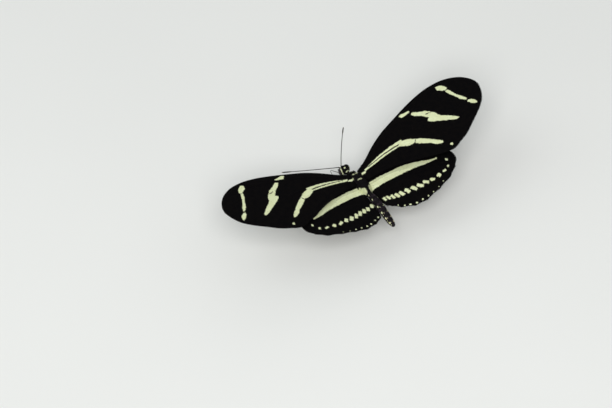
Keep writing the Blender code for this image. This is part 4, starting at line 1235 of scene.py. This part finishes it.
# Each pair's root on the thorax (place along y, angle up from its underside), knee, ankle and toe.
walkingLegs = {
    "midleg": {"root": (0.9, 0.42), "knee": (5.6, 4.2, -4.9), "ankle": (7.4, 6.0), "toe": (9.2, 9.6)},
    "hindleg": {"root": (-1.6, 0.42), "knee": (5.5, -2.4, -4.7), "ankle": (6.9, -1.2), "toe": (9.3, -4.1)},
}
foreleg = {
    "root": (4.3, 0.5), "hipRadii": ((-0.6, 0.26), (0.9, 0.24)),
    "line": ((1.75, 5.6, -4.2, 0.21), (1.35, 6.9, -4.7, 0.15), (1.05, 6.2, -5.0, 0.16),
             (0.92, 5.7, -5.05, 0.07)),
}


def thoraxFoot(y, angle):
    # Point on the thorax's side, and the way straight out of it: the ellipse's point and its slope there.
    wide, high, drop = thoraxSize(y)
    point = np.array((wide * math.sin(angle), y, -drop - high * math.cos(angle)))
    return point, normalise(np.array((math.sin(angle) / wide, 0.0, -math.cos(angle) / high)))


def footRings(start, end):
    # A straight rod of short joints, each widening to its far end, and the whole narrowing to the toe.
    joints = leg["footJoints"]
    t = np.linspace(0.0, 1.0, joints * 9)
    share = (t * joints) % 1.0
    swell = 0.82 + 0.30 * share - 0.25 * (share > 0.93)
    return start + (end - start) * t[:, None], leg["foot"] * (1.0 - 0.25 * t) * swell


def legLine(root, knee, ankle, toe):
    # Hip, thigh and shin as one smooth line with a radius for every place, then the foot flat on the floor.
    start, way = thoraxFoot(*root)
    hip, knee = start + way * leg["hip"], np.array(knee)
    sole = np.array((*ankle, leg["floor"] + leg["foot"] * 1.02))
    end = np.array((*toe, leg["floor"] + leg["foot"] * 0.80))
    shinEnd = sole + normalise(knee - sole) * 0.35
    marks = [(*(start + way * place), size) for place, size in leg["hipRadii"]]
    marks += [(*(hip + (knee - hip) * share), size) for share, size in leg["thighRadii"]]
    marks += [(*(knee + (shinEnd - knee) * share), size) for share, size in leg["shinRadii"]]
    rows = curveThrough(marks, 0.12)
    footLine, footRadii = footRings(sole + (end - sole) * 0.05, end)
    line = np.vstack((rows[:, :3], footLine))
    sizes = np.concatenate((np.maximum(rows[:, 3], 0.1), footRadii))
    sizes[-4:] *= (0.9, 0.75, 0.5, 0.2)
    line[:, 2] = np.maximum(line[:, 2], leg["floor"] + sizes)
    return line, sizes, normalise((end - sole) * (1.0, 1.0, 0.0))


def makeClaw(tip, heading, turn):
    # Thin horn curving out to one side and down: sines of the length along, across and up.
    across = np.array((-heading[1], heading[0], 0.0))
    t = np.linspace(0.0, 1.0, 12)[:, None]
    line = tip + heading * (leg["clawLength"] * np.sin(t * 1.5) - 0.12)
    line = line + across * turn * 0.12 * np.sin(t * 2.2)
    line[:, 2] += 0.10 * np.sin(t[:, 0] * 3.0) - 0.08 * t[:, 0]
    radii = leg["claw"] * (1.0 - 0.85 * t[:, 0])
    line[:, 2] = np.maximum(line[:, 2], leg["floor"] + radii)
    return closeTube(tubeRings(line, radii, 8))


def makeBristles(line, sizes):
    # Blades along the leg, on one side of it and then the other, every eleventh a longer spur.
    count = leg["bristles"]
    order = np.arange(count)
    index = (np.linspace(leg["bristleFrom"], leg["bristleTo"], count) * (len(line) - 1)).astype(int)
    tangent = normalise(np.gradient(line, axis=0))[index]
    sideways = normalise(np.cross(tangent, np.array((0.0, 0.0, 1.0))))
    down = np.cross(tangent, sideways)
    turned = np.where(order % 2 == 0, 1.0, -1.0)[:, None]
    normal = normalise(sideways * turned - down * 0.35 * np.sign(down[:, 2:3]))
    roots = line[index] + normal * (sizes[index] * 0.85)[:, None]
    length = np.where(order % leg["spurEvery"] == 0, leg["spur"], leg["bristle"])
    points, faces = makeBlades(roots, tangent, normal, length, leg["bristleHalfWidth"], 0.55, 0.1)
    points[:, 2] = np.maximum(points[:, 2], leg["floor"] + 0.005)
    return points, faces


def makeWalkingLeg(name, side, sign, places):
    # One tube from hip to toe, two claws at its end, and bristles, all in one piece.
    line, sizes, heading = legLine(**places)
    line, heading = line * (sign, 1.0, 1.0), heading * (sign, 1.0, 1.0)
    parts = [closeTube(tubeRings(line, sizes, leg["around"], upward=(0.3, 0.95, 0.1)))]
    parts += [makeClaw(line[-1], heading, turn) for turn in (-1.0, 1.0)]
    parts.append(makeBristles(line, sizes))
    points, faces = joinParts(parts)
    addPiece(name + "_" + side + "Skin", points, faces, [paints["limb"]], [name + "_" + side])


def makeForeleg(side, sign):
    # Short brush-footed front leg, one tube folded up under the neck.
    start, way = thoraxFoot(*foreleg["root"])
    marks = [(*(start + way * place), size) for place, size in foreleg["hipRadii"]] + list(foreleg["line"])
    rows = curveThrough(marks, 0.1) * (sign, 1.0, 1.0, 1.0)
    points, faces = closeTube(tubeRings(rows[:, :3], rows[:, 3], 16, upward=(1.0, 0.1, 0.2)))
    addPiece("foreleg_" + side + "Skin", points, faces, [paints["limb"]], ["foreleg_" + side])


for side, sign in (("left", -1), ("right", 1)):
    for name, places in walkingLegs.items():
        makeWalkingLeg(name, side, sign, places)
    makeForeleg(side, sign)
print("legs made")

# Coat: hair scales over head, thorax and abdomen, and along the wings. Lengths and half widths are in
# millimetres, lift and droop are shares of a blade's length.

coat = {
    "headEnd": 6.75, "thoraxEnd": -4.1,     # places along y where one coat gives way to the next
    "head": {"number": 6500, "length": (0.16, 0.30), "halfWidth": 0.022, "lift": 0.55, "droop": 0.30},
    "face": {"from": 2.2, "shorter": 0.8, "liftFrom": 2.0, "lift": 0.9},
    "thorax": {
        "number": 15000, "length": (0.32, 0.62), "halfWidth": (0.018, 0.03), "lift": 0.34, "droop": 0.26,
    },
    "collar": {"place": 5.3, "width": 0.7, "longer": 0.5},
    "abdomen": {
        "number": 15000, "length": (0.16, 0.26), "halfWidth": (0.028, 0.04), "lift": 0.16, "droop": 0.10,
    },
}
eyeRim = {
    "number": 1500, "length": (0.12, 0.20), "halfWidth": 0.026, "lift": 0.22, "droop": 0.12,
    "around": (68.0, 222.0), "fromStripe": (-6.0, 58.0),  # degrees covered, round the eye and off its stripe
    "stripe": 53.0, "stripeBend": 12.0, "stripeMiddle": 142.0, "stripeReach": 60.0,
    "stripeHalf": 6.2, "stripeShift": 1.0, "stripeStart": {"left": 74.0, "right": 124.0}, "stripeEnd": 212.0,
}
fringe = {"blades": {"forewing": 1500, "hindwing": 1200}, "length": (0.22, 0.38), "halfWidth": 0.034,
          "frontShorter": 0.35, "frontAbove": {"forewing": 5.0, "hindwing": -4.0}}
rootHair = {"number": {"forewing": 1500, "hindwing": 1300}, "length": (0.4, 0.95), "halfWidth": 0.024,
            "middle": {"forewing": (1.6, 2.6), "hindwing": (1.5, -1.9)},
            "spread": {"forewing": (1.5, 1.0), "hindwing": (1.3, 1.1)}, "onTop": 0.62}
innerHair = {"number": 1400, "length": (0.35, 0.8), "halfWidth": 0.022, "alongEdge": 0.62, "inFromEdge": 1.1}


def scatterOn(lowRow, highRow, number):
    # Random rows and columns of the skin, kept in proportion to the size of their ring.
    row = dice.uniform(lowRow, highRow, number * 3)
    column = dice.uniform(0.0, skinGrid.shape[1], number * 3)
    size = skinSize[row.astype(int)]
    keep = dice.uniform(0.0, size.max(), number * 3) < size
    return row[keep][:number], column[keep][:number]


def insideEye(points, margin):
    # True where a point lies inside either eye, made larger by the margin.
    local = headLocal(points)
    local[..., 0] = np.abs(local[..., 0])
    return np.linalg.norm((local - eye["centre"]) / (np.array(eye["half"]) + margin), axis=-1) < 1.0


def flatOn(lie, normal):
    # The part of a direction that lies in the surface: lie - normal * (lie . normal), at length one.
    return normalise(lie - normal * np.einsum("ij,ij->i", lie, normal)[:, None])


def growCoat(name, row, column, length, width, lift, droop, material, turn=0.35, contrast=1.0):
    # Blades rooted just under the skin, lying along it towards the tail with a small random turn each.
    number = len(row)
    roots, normal = gridPick(skinGrid, row, column), normalise(gridPick(skinNormals, row, column))
    lie = flatOn(normalise(gridPick(skinLie, row, column)), normal)
    lie = normalise(lie + np.cross(lie, normal) * dice.normal(0.0, turn, number)[:, None])
    pale = gridPick(skinPale[..., None], row, column)[:, 0]
    blades = makeBlades(roots - normal * 0.03, lie, normal, length, width,
                        lift * dice.uniform(0.6, 1.4, number), droop, dice.normal(0.0, 0.12, number))
    rootUv = np.stack((column / skinGrid.shape[1] % 1.0, row / (skinGrid.shape[0] - 1)), axis=1)
    addHair(name, blades, rootUv, pale, material, contrast)


def growHeadCoat():
    # Short hair, clear of the eyes, shorter and more upright on the face.
    some, face = coat["head"], coat["face"]
    row, column = scatterOn(0.5, headEnd, some["number"])
    clear = ~insideEye(gridPick(skinGrid, row, column), 0.02)
    row, column = row[clear], column[clear]
    ahead = headLocal(gridPick(skinGrid, row, column))[:, 1]
    length = dice.uniform(*some["length"], len(row)) * np.where(ahead > face["from"], face["shorter"], 1.0)
    lift = np.where(ahead > face["liftFrom"], face["lift"], some["lift"])
    growCoat("headCoat", row, column, length, some["halfWidth"], lift, some["droop"], paints["coat"])


def growThoraxCoat():
    # Longer hair, longest in a bell about the collar.
    some, collar = coat["thorax"], coat["collar"]
    row, column = scatterOn(headEnd, thoraxEnd, some["number"])
    y = gridPick(skinGrid, row, column)[:, 1]
    longer = 1.0 + collar["longer"] * hump(y, collar["place"], collar["width"])
    growCoat("thoraxCoat", row, column, dice.uniform(*some["length"], len(row)) * longer,
             dice.uniform(*some["halfWidth"], len(row)), some["lift"], some["droop"], paints["coat"])


def growAbdomenCoat():
    # Short flat scales, most of them dark and a few brown.
    some = coat["abdomen"]
    row, column = scatterOn(thoraxEnd, skinGrid.shape[0] - 3, some["number"])
    growCoat("abdomenCoat", row, column, dice.uniform(*some["length"], len(row)),
             dice.uniform(*some["halfWidth"], len(row)), some["lift"], some["droop"], paints["abdomenCoat"],
             turn=0.18, contrast=3.0)


def growEyeRim(side, sign):
    # Short scales over the rear and inner rim of the eye: b counts from the eye's outward pole, a round it
    # from the front over the top. A pale stripe follows b = stripe + bend * ((a - middle) / reach) ** 2 from
    # its start to its end, and the rest is black.
    number = eyeRim["number"]
    a = np.radians(dice.uniform(*eyeRim["around"], number))
    away = (np.degrees(a) - eyeRim["stripeMiddle"]) / eyeRim["stripeReach"]
    stripe = np.radians(eyeRim["stripe"] + eyeRim["stripeBend"] * away**2)
    b = stripe + np.radians(dice.uniform(*eyeRim["fromStripe"], number))
    half, centre = np.array(eye["half"]), np.array(eye["centre"])
    unit = np.stack((np.cos(b), np.sin(b) * np.cos(a), np.sin(b) * np.sin(a)), axis=1)
    slide = np.stack((-np.sin(b), np.cos(b) * np.cos(a), np.cos(b) * np.sin(a)), axis=1)
    roots = headPoints(centre + half * unit * 0.995, sign)
    origin = headPoint(0.0, 0.0, 0.0)
    normal = normalise(headPoints(normalise(unit / half), sign) - origin)
    lie = headPoints(normalise(slide * half), sign) - origin + dice.normal(0.0, 0.25, (number, 3))
    length = dice.uniform(*eyeRim["length"], number)
    blades = makeBlades(roots, flatOn(normalise(lie), normal), normal, length, eyeRim["halfWidth"],
                        eyeRim["lift"], eyeRim["droop"])
    onStripe = np.abs(b - stripe - math.radians(eyeRim["stripeShift"])) < math.radians(eyeRim["stripeHalf"])
    start, end = math.radians(eyeRim["stripeStart"][side]), math.radians(eyeRim["stripeEnd"])
    pale = np.where(onStripe & (a >= start) & (a <= end), 1.0, -1.0)
    rootUv = np.stack((a / (2 * math.pi), b / math.pi), axis=1)
    addHair("eyeRimCoat_" + side, blades, rootUv, pale, paints["coat"])


skinSize = ringSize(skinGrid)
rowY = skinGrid[:, :, 1].mean(axis=1)
headEnd = int(np.argmin(np.abs(rowY - coat["headEnd"])))
thoraxEnd = int(np.argmin(np.abs(rowY - coat["thoraxEnd"])))
growHeadCoat()
growThoraxCoat()
growAbdomenCoat()
growEyeRim("left", -1)
growEyeRim("right", 1)
print("body coat grown")


def growFringe(kind, side):
    # Short flat scales that stand out from the wing's free edge, square to it and leaning a little outwards.
    edge = evenly(wingOutline(kind, side)["whole"], fringe["blades"][kind])[30:-12]
    number = len(edge)
    tangent = normalise(np.gradient(edge, axis=0))
    outward = np.stack((-tangent[:, 1], tangent[:, 0]), axis=1)
    outward = outward * np.sign(np.einsum("ij,ij->i", outward, edge - edge.mean(axis=0)))[:, None]
    plan = edge + tangent * dice.uniform(-0.03, 0.03, number)[:, None] - outward * 0.05
    roots = wingMiddle(kind, side, plan)
    lie = normalise(wingMiddle(kind, side, plan + normalise(outward + tangent * 0.25) * 0.1) - roots)
    front = np.where(edge[:, 1] > fringe["frontAbove"][kind], fringe["frontShorter"], 1.0)
    length = dice.uniform(*fringe["length"], number) * front
    blades = makeBlades(roots, lie, wingNormal(kind, side, plan), length, fringe["halfWidth"], 0.05, 0.05)
    addHair("fringe_" + kind + "_" + side, blades, wingUnwrap(plan), np.full(number, -1.0),
            paints["fringe"])


def growRootHair(kind, side):
    # Long soft hair scales over the wing's root, above and below, lying out along the wing, their length
    # falling exponentially away from the root.
    number, middle, spread = rootHair["number"][kind], rootHair["middle"][kind], rootHair["spread"][kind]
    plan = middle + np.abs(dice.normal(0.0, 1.0, (number, 2))) * spread
    out = plan[:, 0] - middle[0]
    plan[:, 1] = middle[1] + dice.uniform(-1.0, 1.0, number) * spread[1] * (1.0 + 0.15 * out)
    face = np.where(dice.uniform(0.0, 1.0, number) < rootHair["onTop"], 1.0, -1.0)
    normal = wingNormal(kind, side, plan) * face[:, None]
    surface = wingMiddle(kind, side, plan)
    lie = normalise(wingMiddle(kind, side, plan + (0.1, 0.0)) - surface)
    lie = normalise(lie + np.array((0.0, 1.0, 0.0)) * dice.normal(-0.15, 0.25, number)[:, None])
    length = dice.uniform(*rootHair["length"], number) * np.exp(-out / 6.0)
    blades = makeBlades(surface + normal * 0.05, lie, normal, length, rootHair["halfWidth"], 0.30, 0.28)
    addHair("rootHair_" + kind + "_" + side, blades, wingUnwrap(plan), paleOnWing[kind](plan, side),
            paints["fringe"])


def growInnerHair(side):
    # Hair along the hindwing's inner edge, which lies against the abdomen.
    number = innerHair["number"]
    rear = evenly(wingOutline("hindwing", side)["rear"], 200)
    pick = dice.uniform(0.0, innerHair["alongEdge"], number)
    plan = np.stack([np.interp(pick, np.linspace(0, 1, 200), rear[:, k]) for k in (0, 1)], axis=1)
    plan[:, 0] += dice.uniform(0.0, innerHair["inFromEdge"], number)
    surface, normal = wingMiddle("hindwing", side, plan), wingNormal("hindwing", side, plan)
    lie = normalise(wingMiddle("hindwing", side, plan + (-0.06, -0.1)) - surface)
    length = dice.uniform(*innerHair["length"], number)
    blades = makeBlades(surface + normal * 0.04, lie, normal, length, innerHair["halfWidth"], 0.22, 0.25)
    addHair("innerHair_" + side, blades, wingUnwrap(plan), paleOnHindwing(plan, side),
            paints["fringe"])


for side in ("left", "right"):
    growFringe("forewing", side)
    growFringe("hindwing", side)
    growRootHair("forewing", side)
    growRootHair("hindwing", side)
    growInnerHair(side)
print("wing hair grown")

# Floor

ground = {"half": 3.0, "light": (0.83, 0.84, 0.83), "grey": (0.80, 0.81, 0.80), "cloudScale": 6.0}


def makeFloor():
    # One flat square, its two greys mixed by slow noise.
    material, tree = startMaterial("paleFloor", 0.85, 0.2)
    cloud = ramp(tree, noiseOn(tree, objectPlace(tree), ground["cloudScale"]), 0.3, 0.7)
    color = mixColors(tree, cloud, ground["grey"], ground["light"])
    tree.links.new(color, tree.nodes["Principled BSDF"].inputs["Base Color"])
    mesh = bpy.data.meshes.new("floor")
    far = ground["half"]
    mesh.from_pydata([(-far, -far, 0), (far, -far, 0), (far, far, 0), (-far, far, 0)], [], [(0, 1, 2, 3)])
    mesh.materials.append(material)
    floor = bpy.data.objects.new("floor", mesh)
    bpy.context.scene.collection.objects.link(floor)


makeFloor()
print("floor made")
